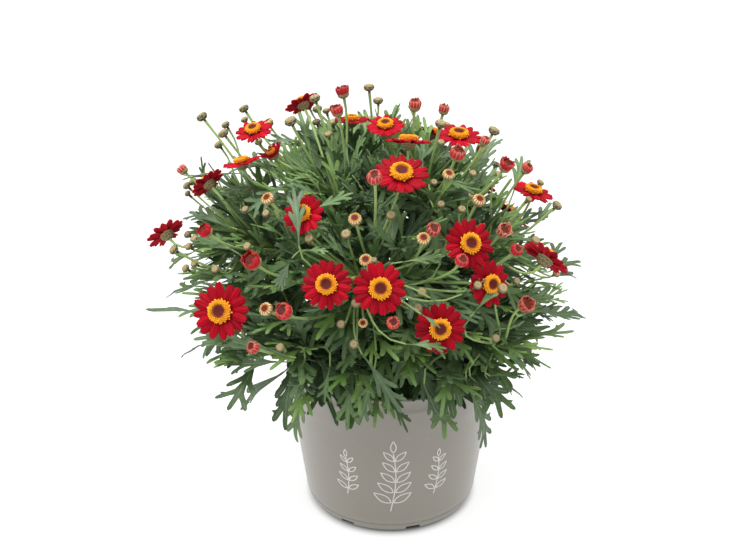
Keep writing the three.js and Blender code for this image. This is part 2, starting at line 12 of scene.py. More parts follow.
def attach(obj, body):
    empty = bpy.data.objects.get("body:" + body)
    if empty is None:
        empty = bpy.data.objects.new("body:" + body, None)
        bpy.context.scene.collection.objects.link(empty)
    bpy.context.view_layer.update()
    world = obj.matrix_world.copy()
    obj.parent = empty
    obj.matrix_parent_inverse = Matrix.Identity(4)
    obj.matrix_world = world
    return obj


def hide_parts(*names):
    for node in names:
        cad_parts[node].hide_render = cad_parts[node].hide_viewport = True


# Potted marguerite daisy: fine growth, blooms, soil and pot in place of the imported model's plain ones.
# Metres, +Z up. The pot's axis is Z, its foot stands on z = 0 and the front is -Y.
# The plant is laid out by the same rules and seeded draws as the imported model, so each fine piece grows
# where the node that it replaces is.
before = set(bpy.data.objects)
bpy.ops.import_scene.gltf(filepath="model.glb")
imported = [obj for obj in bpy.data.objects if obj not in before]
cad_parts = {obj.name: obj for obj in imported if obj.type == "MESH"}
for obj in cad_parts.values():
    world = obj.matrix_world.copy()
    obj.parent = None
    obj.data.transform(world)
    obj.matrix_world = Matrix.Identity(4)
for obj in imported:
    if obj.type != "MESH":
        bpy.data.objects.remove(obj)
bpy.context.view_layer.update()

# The pot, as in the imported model
POT_RIM_RADIUS = 0.095
POT_HEIGHT = 0.150
POT_BAND_FOOT = 0.117
POT_BAND_RADIUS = 0.0935
POT_CORNER_RADIUS = 0.0805
POT_CORNER_HEIGHT = 0.014
POT_FOOT_RADIUS = 0.071
POT_WALL = 0.0018
POT_FLOOR = 0.0045
POT_FACETS = 192
RING_LINE_HEIGHT = 0.136         # a faint moulded line round the pot's top band
RING_LINE_HALF = 0.0012
FOOT_LINE_HEIGHT = 0.0115
FOOT_LINE_HALF = 0.0009
LINE_DEPTH = 0.0004
# The rounded bottom corner: heights, and radii beyond the foot's
CORNER_TURN = [(0.0, 0.0), (0.0012, 0.0028), (0.0045, 0.0066), (0.0085, 0.0084)]
# The rim's lip: how far each point is below the top, and outside the rim's radius
LIP_TURN = [
    (0.0034, -0.0001), (0.0026, 0.0007), (0.0010, 0.0009), (0.0001, 0.0002), (0.0, -0.0007),
    (0.0003, -0.0014), (0.0014, -POT_WALL),
]
DRAIN_COUNT = 8
DRAIN_TURN = 15                  # the bearing of the first one, in degrees
DRAIN_WIDTH = 0.013
DRAIN_INNER = 0.068
DRAIN_OUTER = 0.092
DRAIN_HEIGHT = 0.008

# The print: a tall sprig with a small one on each side, at three places round the pot
PRINT_BEARINGS = [-90, 30, 150]
PRINT_LINE = 0.0009
PRINT_PROUD = 0.00008
TALL_SPRIG = SimpleNamespace(foot=0.028, tall=0.066, pairs=5)
SMALL_SPRIG = SimpleNamespace(foot=0.042, tall=0.042, pairs=4)
SMALL_SPRIG_TURN = 27

# The soil
SOIL_TOP = 0.137
SOIL_GAP = 0.0005
SOIL_EDGE = 0.089                # the radius of its flat top
STEM_SOCKET_DEPTH = 0.011
CRUMBS = 900
CRUMB_REACH = 0.088
CRUMB_SEED = 77
CRUMB_SMALLEST = 0.0007
CRUMB_GROWTH = 0.0022            # how much larger the largest is
SOIL_LUMPS = 0.0009              # how far the top rises and falls, in large waves and in small ones
SOIL_GRAINS = 0.0006

# The plant's stems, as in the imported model
STEM_RADIUS = 0.0023
STEM_BONES = 5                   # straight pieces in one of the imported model's stems
STEM_LEAN = -0.018               # the whole crown leans a little to the left
STEM_FOOT_GAP = 0.001            # over the floor of its hole in the soil
STEM_FOOT_RISE = 0.03            # how far above the soil a stem still grows straight up
STEM_SHOULDER = (0.22, 0.75)     # how far out and how far up its bend is, as shares of the way to the tip
CROWN_SHARE = 0.85               # where a stem's crown is; a head grows from the stem with the nearest one
STEM_RINGS = [
    SimpleNamespace(count=4, foot=0.034, reach=0.148, top=0.200, bearing=-130, leaves=6),
    SimpleNamespace(count=5, foot=0.020, reach=0.118, top=0.272, bearing=-95, leaves=4),
    SimpleNamespace(count=3, foot=0.008, reach=0.054, top=0.322, bearing=-20, leaves=3),
]

# Open blooms: the disc's foot, where it faces (bearing and rise in degrees), and the diameter
BLOOMS = [
    ((-0.127, -0.149, 0.259), (-105, 28), 0.044),
    ((-0.046, -0.168, 0.290), (-95, 30), 0.037),
    ((-0.008, -0.171, 0.288), (-80, 28), 0.039),
    ((0.008, -0.100, 0.350), (-80, 64), 0.042),
    ((0.058, -0.140, 0.310), (-70, 32), 0.038),
    ((0.073, -0.152, 0.283), (-58, 20), 0.035),
    ((0.036, -0.173, 0.257), (-85, 18), 0.038),
    ((-0.004, -0.030, 0.367), (-100, 74), 0.031),
    ((0.057, 0.000, 0.349), (-70, 80), 0.039),
    ((0.119, -0.020, 0.307), (-20, 76), 0.035),
    ((-0.112, -0.020, 0.360), (-120, 70), 0.031),
    ((-0.033, 0.020, 0.357), (80, 84), 0.030),
    ((-0.120, -0.042, 0.340), (150, 72), 0.030),
    ((-0.066, -0.110, 0.322), (-110, 40), 0.032),
    ((0.123, -0.090, 0.277), (43, 37), 0.040),
    ((-0.187, -0.040, 0.278), (136, 36), 0.034),
    ((0.014, -0.062, 0.364), (80, 73), 0.035),
    ((-0.074, 0.012, 0.374), (127, 45), 0.030),
    ((-0.151, -0.028, 0.318), (142, 33), 0.031),
    ((0.038, 0.042, 0.338), (60, 60), 0.034),
    ((0.112, 0.078, 0.250), (30, 42), 0.040),
    ((0.086, 0.130, 0.262), (52, 40), 0.038),
    ((0.028, 0.165, 0.262), (80, 26), 0.042),
    ((-0.062, 0.158, 0.280), (108, 34), 0.039),
    ((-0.135, 0.112, 0.258), (138, 28), 0.041),
    ((0.008, 0.112, 0.300), (85, 50), 0.037),
]
TWO_COLOUR_BLOOMS = 20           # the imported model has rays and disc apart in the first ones
PETAL_THICKNESS = 0.0009
PETAL_LIFT = 0.09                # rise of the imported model's rays for each metre out from the middle
DISC_SHARE = 0.43                # the disc's diameter, as a share of the bloom's
RAY_THICKNESS = 0.00035
TONGUE_THICKNESS = {"half_open": 0.0004, "straw": 0.0006}
RAY_LAYERS = (-0.0003, 0.0005)   # heights of the two layers of rays
LARGE_BLOOM = 0.036              # blooms wider than this have more rays
LARGE_BLOOM_RAYS = 15            # or one more
SMALL_BLOOM_RAYS = 13
BLOOM_FLORETS = 150
HALF_OPEN_RINGS = (12, 10)       # petals in a half-open bud's outer and inner ring
HALF_OPEN_FLORETS = 44
STRAW_TIPS = 14
STRAW_FLORETS = 48
SEAT_GAP = 0.00035
SEAT_DEPTH = PETAL_THICKNESS / 2 + SEAT_GAP   # from a bloom's place to its disc and to its cup
CUP_SHARE = 0.17                 # the cup's radius and depth, as shares of the bloom's diameter

# Buds: half-open ones in colour, ones showing a straw ring, and closed green ones. After a half-open bud's
# place come its size, how far it is open, and how pale its petals still are.
HALF_OPEN_BUDS = [
    ((-0.040, 0.002, 0.389), 1.05, 0.8, 0.10),
    ((-0.043, -0.040, 0.385), 1.00, 0.4, 0.30),
    ((-0.012, -0.130, 0.360), 1.15, 0.1, 0.50),
    ((0.020, -0.020, 0.384), 1.00, 0.6, 0.60),
    ((0.044, -0.015, 0.379), 0.90, 0.3, 0.80),
    ((0.052, -0.075, 0.360), 1.20, 0.4, 0.40),
    ((0.077, -0.035, 0.358), 0.80, 0.2, 0.70),
    ((0.092, -0.062, 0.346), 1.05, 1.0, 0.10),
    ((0.111, -0.045, 0.338), 0.90, 0.3, 0.40),
    ((0.086, -0.119, 0.313), 1.00, 0.9, 0.80),
    ((0.032, -0.138, 0.322), 1.05, 0.3, 0.50),
    ((0.097, -0.118, 0.297), 1.00, 0.0, 0.10),
    ((0.052, -0.163, 0.308), 1.00, 0.0, 0.15),
    ((-0.103, -0.145, 0.299), 1.30, 0.7, 0.05),
    ((-0.144, -0.104, 0.307), 1.05, 0.5, 0.00),
    ((-0.180, 0.008, 0.319), 0.90, 0.1, 0.80),
    ((-0.104, -0.164, 0.237), 1.00, 0.0, 0.50),
    ((0.104, -0.134, 0.258), 1.10, 0.9, 0.40),
    ((0.002, -0.180, 0.266), 1.00, 0.0, 0.40),
    ((-0.030, 0.130, 0.325), 1.00, 0.5, 0.30),
    ((-0.099, -0.020, 0.343), 1.15, 2.0, 0.00),
    ((-0.079, -0.166, 0.268), 1.30, 0.2, 0.15),
]
STRAW_BUDS = [
    (-0.026, -0.142, 0.331), (-0.018, -0.160, 0.306), (-0.092, -0.118, 0.338), (-0.092, -0.163, 0.268),
    (0.024, -0.148, 0.318), (0.067, -0.108, 0.333), (0.044, -0.098, 0.350), (0.060, 0.145, 0.275),
]
CLOSED_BUDS = [
    (-0.160, 0.014, 0.363), (-0.124, 0.014, 0.370), (-0.140, -0.004, 0.354), (-0.080, -0.040, 0.375),
    (-0.062, -0.012, 0.386), (-0.018, 0.004, 0.391), (0.086, -0.010, 0.358), (0.040, -0.044, 0.374),
    (0.136, -0.050, 0.307), (-0.172, -0.088, 0.284),
]
PEDUNCLE_RADIUS = 0.00125
HIGHEST_PEDUNCLE = 0.96          # as a share of the stem; the others start lower, over the next share of it
PEDUNCLE_SPREAD = 0.5
BUD_RADIUS = 0.0046
BUD_DEPTHS = {"closed": 1.2, "straw": 1.2, "half_open": 1.7}   # in bud radii
BALL_ROWS = 7                    # rows of points from a bud's foot to its widest place, and on to its top
SCALE_RISE = 0.10                # how far a scale's tip stands off a bud or cup, as a share of its radius

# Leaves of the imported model
LEAF_LENGTH_LOW = 0.066          # at the foot of a shoot
LEAF_LENGTH_HIGH = 0.054         # and at its tip
LEAF_FIRST = 0.3                 # as a share of a stem
LEAFY_PEDUNCLE = 0.100           # longer peduncles than this have a leaf
VERY_LONG_PEDUNCLE = 0.150       # and longer ones than this have two
LEAF_TURN = 137.5                # degrees from one leaf to the next
LEAF_TURN_CHOICES = [0, 35, -35, 70, -70]
LEAF_SEED = 20731
LEAF_MATCH = 0.0012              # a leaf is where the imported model's surface is nearer than this

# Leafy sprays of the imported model, their tips spread evenly over a dome
SPRAYS = 9
DOME_CENTRE = np.array([-0.014, 0.0, 0.205])
SPRAY_DOME_RADII = np.array([0.158, 0.148, 0.140])
SPRAY_LOWEST = -0.2              # sine of the lowest tip's rise from the dome's centre
SPRAY_SHORTEST = 0.075
ROOT_SHARES = np.linspace(0.12, 0.92, 17)   # where on a stem a spray or twig may start
TURN_COST = 0.050                # for leaving the stem's own direction
SHORT_COST = 0.200
SPRAY_TURNS = [0, 12, -12, 24, -24, 36, -36]
SPRAY_RISES = [0, 0.12, -0.12, 0.24]
SPRAY_ARCH = -0.12
SPRAY_FOLD = 0.5
# The leaves of a spray: the place along it, the side, and the length as a share of the spray's
SPRAY_LEAVES = [(0.34, 1, 0.42), (0.48, -1, 0.40), (0.60, 1, 0.36), (0.74, -1, 0.32)]
SPRAY_LEAF_ANGLE = 48

# More leafy twigs between the stems
TWIGS = 104
TWIG_DOME_CENTRE = np.array([-0.020, 0.0, 0.205])
TWIG_DOME_RADII = np.array([0.129, 0.134, 0.130])
TWIG_LOWEST = -0.30
TWIG_SHORTEST = 0.035
TWIG_SEED = 411
GROWTH_SEED = 5
GOLDEN_TURN = 137.508            # degrees from one twig to the next
TWIG_RADIUS = 0.0015
SEEN_LEAF_STALK = 0.0012
TWIG_LEAF_LOW = 0.066            # at the foot of a twig
TWIG_LEAF_HIGH = 0.048           # and at its tip
STEEPEST_LEAF = 0.985            # sine of the rise that no leaf goes past
TUFT_LEAF = 0.038                # the small leaves at a twig's tip
TUFT_LEAVES = 3
THREE_PAIRS_FROM = 0.056         # leaves longer than this have three pairs of lobes
SPRAY_LEAF_SHORTEST = 0.040
TWIG_LEAF_TURN_CHOICES = [0, 40, -40, 80, -80]
LEAF_SPACING = 0.0103            # along a twig
BROAD_LEAF = 0.048               # longer leaves are slimmer than their pattern
SPRAY_TWIG_LEAVES = 0.6          # the size of a spray's fine leaves, to those of other twigs
LEAF_THICKNESS = 0.0005
FOLIAGE_RADII = np.array([0.176, 0.166, 0.152])   # the dome that the bush's leaf tips reach
FIRST_INNER_LEAF = 0.3           # as a share of a stem

# Room that twigs and leaves keep free
CLEAR_AHEAD_OF_BLOOM = 0.07      # how far in front of a head nothing grows
CLEAR_AHEAD_OF_BUD = 0.03
CLEAR_TO_CAMERA = 0.10           # and how far on the way from it to the camera
FRONT_HALF = 0.02                # heads with y below this face the camera's side
CLEAR_BELOW = 0.128              # in front of the pot's wall, growth stays above this
CLEAR_REACH = 0.135
CLEAR_ROW = 372.0                # beside the pot it stays above this row of the photograph
CLEAR_LEFT = 286.0
CLEAR_RIGHT = 516.0

# The camera, as the photograph was taken. From its focal length on, values are pixels of the photograph.
CAMERA_PLACE = np.array([0.0, -0.900, 0.628])
CAMERA_TILT = 24.55              # degrees below level
FOCAL_LENGTH = 1115.0
PICTURE_WIDTH = 750.0
AXIS_COLUMN = 390.6
MIDDLE_ROW = 280.0
CAMERA_AHEAD = np.array([0.0, math.cos(math.radians(CAMERA_TILT)), -math.sin(math.radians(CAMERA_TILT))])
CAMERA_ABOVE = np.array([0.0, math.sin(math.radians(CAMERA_TILT)), math.cos(math.radians(CAMERA_TILT))])
SENSOR_WIDTH = 36.0              # millimetres

# The light: a lamp's name, place, width and watts
LAMPS = [
    ("overhead", (0.0, 0.0, 3.5), 10.0, 290.0),
    ("key", (-0.7, -1.1, 1.7), 1.0, 10.0),
    ("top", (-0.1, 0.1, 1.9), 0.9, 25.0),
    ("side", (-1.7, -0.3, 0.6), 0.8, 7.0),
    ("fill", (1.3, -0.7, 0.8), 1.0, 3.0),
    ("back", (0.2, 1.3, 1.5), 1.2, 3.0),
]
LAMP_AIM = (0.0, 0.0, 0.22)
SKY_STRENGTH = 0.36
FLOOR_REACH = 40.0
FLOOR_GREY = 0.30
FLOOR_GLOW = 0.76
FLOOR_GLOW_FROM = 0.070          # under the pot's foot the floor doesn't glow: a painted contact shadow
FLOOR_GLOW_FULL = 0.084

# Leaves that stand out in the photograph: column and row of the root and of the tip, pairs of lobes, and how
# much nearer (or, below 0, farther) than the bush's surface they are, as a share of its size. A last value
# is the blade's turn about its rib, in degrees.
SEEN_LEAVES = [
    ((206, 313), (172, 317), 0, 0.0, 84),
    ((206, 184), (198, 157), 1, 0.0),
    ((218, 180), (210, 162), 0, 0.0),
    ((212, 284), (176, 291), 2, 0.0),
    ((196, 250), (168, 269), 2, 0.0),
    ((206, 345), (183, 357), 0, 0.0),
    ((288, 356), (197, 337), 3, 0.0),
    ((286, 362), (229, 368), 2, 0.0),
    ((292, 364), (240, 418), 1, -0.04),
    ((305, 358), (291, 436), 3, -0.06),
    ((292, 258), (277, 290), 3, 0.05),
    ((306, 250), (328, 252), 2, 0.06),
    ((242, 256), (200, 236), 3, 0.0),
    ((230, 227), (184, 217), 2, 0.0),
    ((226, 206), (200, 178), 1, 0.0),
    ((250, 190), (236, 156), 1, -0.05),
    ((524, 314), (580, 316), 3, 0.0),
    ((548, 272), (580, 261), 1, 0.0),
    ((550, 276), (578, 279), 1, 0.0),
    ((545, 268), (563, 243), 1, -0.05),
    ((498, 350), (530, 371), 2, 0.0),
    ((490, 376), (524, 375), 2, -0.04),
    ((488, 380), (522, 395), 2, -0.06),
    ((470, 376), (501, 414), 3, -0.06),
    ((466, 380), (487, 445), 3, -0.08),
    ((362, 354), (400, 412), 2, -0.02),
    ((374, 372), (360, 424), 3, -0.08),
    ((424, 384), (437, 426), 2, -0.08),
    ((330, 366), (322, 402), 2, -0.10),
    ((421, 314), (440, 328), 1, 0.19),
    ((406, 344), (446, 348), 2, 0.17),
    ((430, 298), (474, 328), 1, 0.15),
    ((474, 312), (503, 285), 1, 0.19),
    ((462, 294), (486, 280), 1, 0.19),
    ((402, 262), (445, 258), 2, 0.04),
    ((440, 264), (446, 240), 1, 0.04),
    ((312, 160), (299, 108), 1, -0.06),
    ((306, 142), (268, 142), 2, -0.03),
    ((285, 178), (240, 158), 2, 0.0),
    ((290, 182), (245, 211), 2, 0.02),
    ((312, 212), (352, 190), 2, 0.02),
    ((299, 246), (297, 188), 2, 0.13),
    ((350, 170), (338, 122), 1, -0.05),
    ((420, 180), (428, 136), 2, -0.05),
    ((476, 178), (488, 140), 2, -0.05),
    ((512, 196), (527, 158), 2, -0.03),
    ((534, 226), (552, 204), 1, -0.03),
]

# Small side buds in the photograph: kind, size, how much nearer than the bush's surface, columns and rows
SIDE_BUDS = [
    ("closed", 0.76, 0.02, [
        (187, 234), (194, 238), (188, 246), (186, 185), (192, 181), (187, 193), (225, 124), (244, 119),
        (258, 141), (326, 110), (316, 121), (332, 122), (328, 134), (372, 118), (387, 117), (245, 209),
        (266, 213), (247, 246), (303, 225), (309, 238), (346, 234), (386, 136), (410, 140), (447, 124),
        (441, 142), (499, 174), (473, 173), (434, 182), (441, 204), (462, 209), (391, 215), (536, 240),
        (541, 182), (185, 268), (194, 263), (215, 269), (315, 303), (356, 303), (280, 347), (341, 324),
        (354, 344), (422, 292), (418, 308), (496, 338), (517, 281), (557, 273),
    ]),
    ("closed", 1.0, 0.02, [(218, 144), (378, 99.5), (317, 108), (308, 103.5)]),
    ("closed", 0.58, 0.02, [(471, 195), (529, 199), (374, 260)]),
    ("closed", 0.76, 0.20, [(478, 285), (503, 288)]),
    ("straw", 0.8, 0.02, [(363, 323)]),
    ("straw", 1.0, 0.06, [(267.5, 122)]),
    ("half_open", 0.8, 0.02, [(482, 148)]),
]
BACK_BUDS = [
    (-0.090, 0.140, 0.300), (0.050, 0.145, 0.300), (-0.155, 0.075, 0.275), (0.000, 0.165, 0.240),
    (0.100, 0.105, 0.290), (0.138, 0.030, 0.268), (-0.110, 0.120, 0.285), (0.015, 0.140, 0.312),
]


def lerp(a, b, share):
    return a + (b - a) * share


def unit(v):
    v = np.asarray(v, float)
    return v / np.linalg.norm(v)


def smooth_step(low, high, value):
    share = np.clip((value - low) / (high - low), 0, 1)
    return share * share * (3 - 2 * share)


def seeded_draws(seed):
    """The same draws between 0 and 1 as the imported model's own."""
    state = seed

    def draw():
        nonlocal state
        state = (state * 1664525 + 1013904223) % 4294967296
        return state / 4294967296

    return draw


def from_bearing(bearing, reach, height):
    turn = math.radians(bearing)
    return np.array([reach * math.cos(turn), reach * math.sin(turn), height])


def direction(bearing, rise):
    return from_bearing(bearing, math.cos(math.radians(rise)), math.sin(math.radians(rise)))


UP = np.array([0.0, 0.0, 1.0])


def placing_at(root, *axes):
    """A matrix that takes points from their own frame to this root and these three axes."""
    placing = np.eye(4)
    placing[:3, :3] = np.stack(axes, axis=1)
    placing[:3, 3] = root
    return placing


def placed(points, placing):
    return points @ placing[:3, :3].T + placing[:3, 3]


def leaning(tangent, across, above, turn, spread):
    """A direction that leans away from a shoot's own by the spread, at this turn round it."""
    sideways = across * math.cos(turn) + above * math.sin(turn)
    return tangent * math.cos(spread) + sideways * math.sin(spread)


def in_scene(name, data):
    """A new object with this mesh, lamp or lens."""
    made = bpy.data.objects.new(name, data)
    bpy.context.scene.collection.objects.link(made)
    return made


class Bend:
    """A cubic curve by its four points."""

    def __init__(self, *points):
        self.points = np.array(points, float)
        steps = self.at(np.linspace(0, 1, 201))
        spans = np.linalg.norm(np.diff(steps, axis=0), axis=1)
        self.runs = np.concatenate([[0], np.cumsum(spans)])
        self.length = self.runs[-1]

    def at(self, share):
        t = np.asarray(share, float)[..., None]
        a, b, c, d = self.points
        return a * (1 - t) ** 3 + 3 * b * t * (1 - t) ** 2 + 3 * c * t * t * (1 - t) + d * t ** 3

    def tangent(self, share):
        t = share
        a, b, c, d = self.points
        return unit((b - a) * (1 - t) ** 2 + 2 * (c - b) * t * (1 - t) + (d - c) * t * t)

    def share_along(self, along):
        return np.interp(along * self.length, self.runs, np.linspace(0, 1, 201))


# The layout of the plant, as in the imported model

def lay_stems():
    """Stems in three rings, the lowest ring leaning out most."""
    stems = []
    for tier in STEM_RINGS:
        for k in range(tier.count):
            bearing = tier.bearing + 360 * k / tier.count
            foot = from_bearing(bearing, tier.foot, SOIL_TOP - STEM_SOCKET_DEPTH + STEM_FOOT_GAP)
            tip = from_bearing(bearing, tier.reach, tier.top) + [STEM_LEAN, 0, 0]
            out = lerp(tier.foot, tier.reach, STEM_SHOULDER[0])
            shoulder = from_bearing(bearing, out, lerp(SOIL_TOP, tier.top, STEM_SHOULDER[1]))
            rise = [foot[0], foot[1], SOIL_TOP + STEM_FOOT_RISE]
            number = len(stems) + 1
            stems.append(SimpleNamespace(
                number=number, node=f"leafy_stem_{number:02d}", leaves=tier.leaves,
                curve=Bend(foot, rise, shoulder, tip)))
    return stems


def outward(at):
    """Where a bud looks: away from the bush's middle, and a little up."""
    return unit(unit([at[0], at[1], 0.55 * (at[2] - SOIL_TOP)]) + [0, 0, 0.45])


def head_depth(head):
    """How far behind a head's place its peduncle begins to widen."""
    if head.kind == "bloom":
        return SEAT_DEPTH + CUP_SHARE * head.across
    return BUD_DEPTHS[head.kind] * BUD_RADIUS


def peduncle_curve(head):
    share = HIGHEST_PEDUNCLE - PEDUNCLE_SPREAD * head.order / head.companions
    root = head.stem.curve.at(share)
    seat = head.at - head.faces * head_depth(head)
    length = np.linalg.norm(seat - root)
    leaving = unit(head.stem.curve.tangent(share) * 0.6 + unit(seat - root))
    return Bend(root, root + leaving * 0.3 * length, seat - head.faces * 0.35 * length, seat)


def bud_head(kind, at, size=1.0, openness=0.3, pale=0.7):
    at = np.array(at)
    return SimpleNamespace(kind=kind, at=at, faces=outward(at), size=size, openness=openness, pale=pale)


def lay_heads(stems):
    """Blooms and buds, each on the stem whose crown is nearest, with its peduncle."""
    heads = [
        SimpleNamespace(kind="bloom", at=np.array(at), faces=direction(*faces), across=across)
        for at, faces, across in BLOOMS
    ]
    heads += [bud_head("half_open", *look) for look in HALF_OPEN_BUDS]
    heads += [bud_head("straw", at) for at in STRAW_BUDS]
    heads += [bud_head("closed", at) for at in CLOSED_BUDS]
    taken = {stem.number: 0 for stem in stems}
    crowns = np.array([stem.curve.at(CROWN_SHARE) for stem in stems])
    for head in heads:
        head.stem = stems[int(np.argmin(np.linalg.norm(crowns - head.at, axis=1)))]
        head.order = taken[head.stem.number]
        taken[head.stem.number] += 1
    for number, head in enumerate(heads, 1):
        head.number = number
        head.companions = taken[head.stem.number]
        head.curve = peduncle_curve(head)
        long = head.curve.length > LEAFY_PEDUNCLE
        head.bones = [0, 0.3, 0.6, 1] if long else [0, 0.5, 1]
    return heads


def place_on_bones(bones, share):
    """The place and direction at a share of a line of straight bones."""
    bone = min(int(share * (len(bones) - 1)), len(bones) - 2)
    along = bones[bone + 1] - bones[bone]
    return bones[bone] + along * (share * (len(bones) - 1) - bone), unit(along)


def lay_shoots(stems, heads):
    """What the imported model's leaves grow from: the stems, and the lower part of each long peduncle."""
    shoots = []
    even = np.linspace(0, 1, STEM_BONES + 1)
    for stem in stems:
        params = stem.curve.share_along(even)
        shares = [lerp(LEAF_FIRST, 1, (k + 0.5) / stem.leaves) for k in range(stem.leaves)]
        shoots.append(SimpleNamespace(stem=stem, curve=stem.curve, params=params, shares=shares))
    for head in heads:
        if head.curve.length > LEAFY_PEDUNCLE:
            shares = [0.38, 0.72] if head.curve.length > VERY_LONG_PEDUNCLE else [0.38]
            shoots.append(SimpleNamespace(
                stem=head.stem, curve=head.curve, params=head.bones, shares=shares))
    return shoots


def root_for(stems, tip, shortest):
    """Where a shoot to this tip starts best, near and in line: the stem, the share of it and the place."""
    best = None
    for stem in stems:
        roots = stem.curve.at(ROOT_SHARES)
        away = tip - roots
        lengths = np.linalg.norm(away, axis=1)
        steep = np.array([unit(a) @ stem.curve.tangent(s) for a, s in zip(away, ROOT_SHARES)])
        cost = lengths + TURN_COST * (1 - steep) + SHORT_COST * (lengths < shortest)
        pick = int(np.argmin(cost))
        if best is None or cost[pick] < best[0]:
            best = (cost[pick], stem, ROOT_SHARES[pick], roots[pick])
    return best[1:]


def lay_sprays(stems):
    """Sprays with tips spread over the dome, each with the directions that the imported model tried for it."""
    sprays = []
    for k in range(SPRAYS):
        rise = lerp(SPRAY_LOWEST, 1, (k + 0.5) / SPRAYS)
        heading = from_bearing(LEAF_TURN * k, math.sqrt(1 - rise * rise), rise)
        tip = DOME_CENTRE + heading * SPRAY_DOME_RADII
        stem, _, root = root_for(stems, tip, SPRAY_SHORTEST)
        length = np.linalg.norm(tip - root)
        out = (tip - root) / length
        outs = []
        for lift in SPRAY_RISES:
            for turn in SPRAY_TURNS:
                c, s = math.cos(math.radians(turn)), math.sin(math.radians(turn))
                outs.append(unit([c * out[0] - s * out[1], s * out[0] + c * out[1], out[2] + lift]))
        sprays.append(SimpleNamespace(stem=stem, root=root, outs=outs, length=length, droop=SPRAY_ARCH))
    return sprays


def leaf_frame(root, out):
    """The placing of a leaf, whose own frame has +X along the rib and +Z up from the blade."""
    across = unit(np.cross(UP, out))
    return placing_at(root, out, across, np.cross(out, across))


def lay_model_leaves(shoots):
    """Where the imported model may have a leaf, and the directions that it tried for it, in their order."""
    draw = seeded_draws(LEAF_SEED)
    slots = []
    for s, shoot in enumerate(shoots):
        bones = shoot.curve.at(np.array(shoot.params))
        for k, share in enumerate(shoot.shares):
            along = (k + 0.5) / len(shoot.shares)
            root, tangent = place_on_bones(bones, share)
            across = unit(np.cross(UP, tangent))
            above = np.cross(tangent, across)
            spread = math.radians(lerp(72, 42, along) + 16 * (draw() - 0.5))
            outs = []
            for choice in LEAF_TURN_CHOICES:
                turn = math.radians(LEAF_TURN * k + 50 * s + choice)
                outs.append(leaning(tangent, across, above, turn, spread))
            length = lerp(LEAF_LENGTH_LOW, LEAF_LENGTH_HIGH, along) * (0.88 + 0.24 * draw())
            droop = lerp(0.42, 0.16, along) + 0.12 * (draw() - 0.5)
            pairs = 3 if len(shoot.shares) > 4 and along < 0.4 else 2
            param = np.interp(share, np.linspace(0, 1, len(shoot.params)), shoot.params)
            slots.append(SimpleNamespace(
                stem=shoot.stem, root=root, outs=outs, length=length, droop=droop, pairs=pairs,
                fine_root=shoot.curve.at(param)))
    return slots


def solid_of(node):
    """A node's surface, to look for the nearest point on it."""
    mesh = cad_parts[node].data
    corners = [v.co.copy() for v in mesh.vertices]
    return BVHTree.FromPolygons(corners, [tuple(p.vertices) for p in mesh.polygons])


def kept(slots, solids):
    """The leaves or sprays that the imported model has, each in the direction that it took there."""
    found = []
    for slot in slots:
        for out in slot.outs:
            placing = leaf_frame(slot.root, out)
            reach = np.array([0.3, 0.5, 0.7, 0.9]) * slot.length
            rib = np.stack([reach, 0 * reach, -slot.droop * reach ** 2 / slot.length], axis=1)
            gaps = [solids[slot.stem.number].find_nearest(Vector(p))[3] for p in placed(rib, placing)]
            if max(gaps) < LEAF_MATCH:
                slot.out = out
                found.append(slot)
                break
    return found


# Mesh making

SHARP_EDGE = math.radians(48)


class Gathering:
    """Points, triangles and values at the points of many small shapes, to become one piece."""

    def __init__(self):
        self.points, self.faces, self.values, self.count = [], [], {}, 0

    def add(self, points, faces, **values):
        self.points.append(points)
        self.faces.append(faces + self.count)
        for name, value in values.items():
            full = np.broadcast_to(np.asarray(value, float), (len(points),))
            self.values.setdefault(name, []).append(full)
        self.count += len(points)

    def piece(self, name, finish, slot, replaces=()):
        points = np.concatenate(self.points)
        faces = np.concatenate(self.faces)
        mesh = bpy.data.meshes.new(name)
        mesh.vertices.add(len(points))
        mesh.vertices.foreach_set("co", points.astype(np.float32).ravel())
        mesh.loops.add(faces.size)
        mesh.loops.foreach_set("vertex_index", faces.astype(np.int32).ravel())
        mesh.polygons.add(len(faces))
        mesh.polygons.foreach_set("loop_start", np.arange(0, faces.size, 3, dtype=np.int32))
        mesh.update(calc_edges=True)
        for key, value in self.values.items():
            layer = mesh.attributes.new(key, "FLOAT", "POINT")
            layer.data.foreach_set("value", np.concatenate(value).astype(np.float32))
        mesh.shade_smooth()
        mesh.set_sharp_from_angle(angle=SHARP_EDGE)
        mesh.materials.append(finish)
        made = in_scene(name, mesh)
        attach(made, "root")
        if replaces:
            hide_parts(*replaces)
        return made


def skin(rings):
    """Triangles over a run of rings with the same number of points, closed at both ends."""
    rows, around = rings.shape[:2]
    a = np.arange(around)
    b = (a + 1) % around
    faces = []
    for row in range(rows - 1):
        low, high = row * around, (row + 1) * around
        faces.append(np.stack([low + a, low + b, high + b], axis=1))
        faces.append(np.stack([low + a, high + b, high + a], axis=1))
    first, last = rows * around, rows * around + 1
    top = (rows - 1) * around
    faces.append(np.stack([np.full(around, first), b, a], axis=1))
    faces.append(np.stack([np.full(around, last), top + a, top + b], axis=1))
    points = np.vstack([rings.reshape(-1, 3), rings[0].mean(axis=0), rings[-1].mean(axis=0)])
    return points, np.concatenate(faces)


def by_ring(values, around):
    """A value for each ring, given to each of its points and to the two end points of a skin."""
    return np.concatenate([np.repeat(values, around), [values[0], values[-1]]])


def turns_round(count):
    """Even turns of a full circle, in radians."""
    return 2 * math.pi * np.arange(count) / count


def ring_at(centre, radius, side, other, around):
    turns = turns_round(around)
    return centre + radius * (np.outer(np.cos(turns), side) + np.outer(np.sin(turns), other))


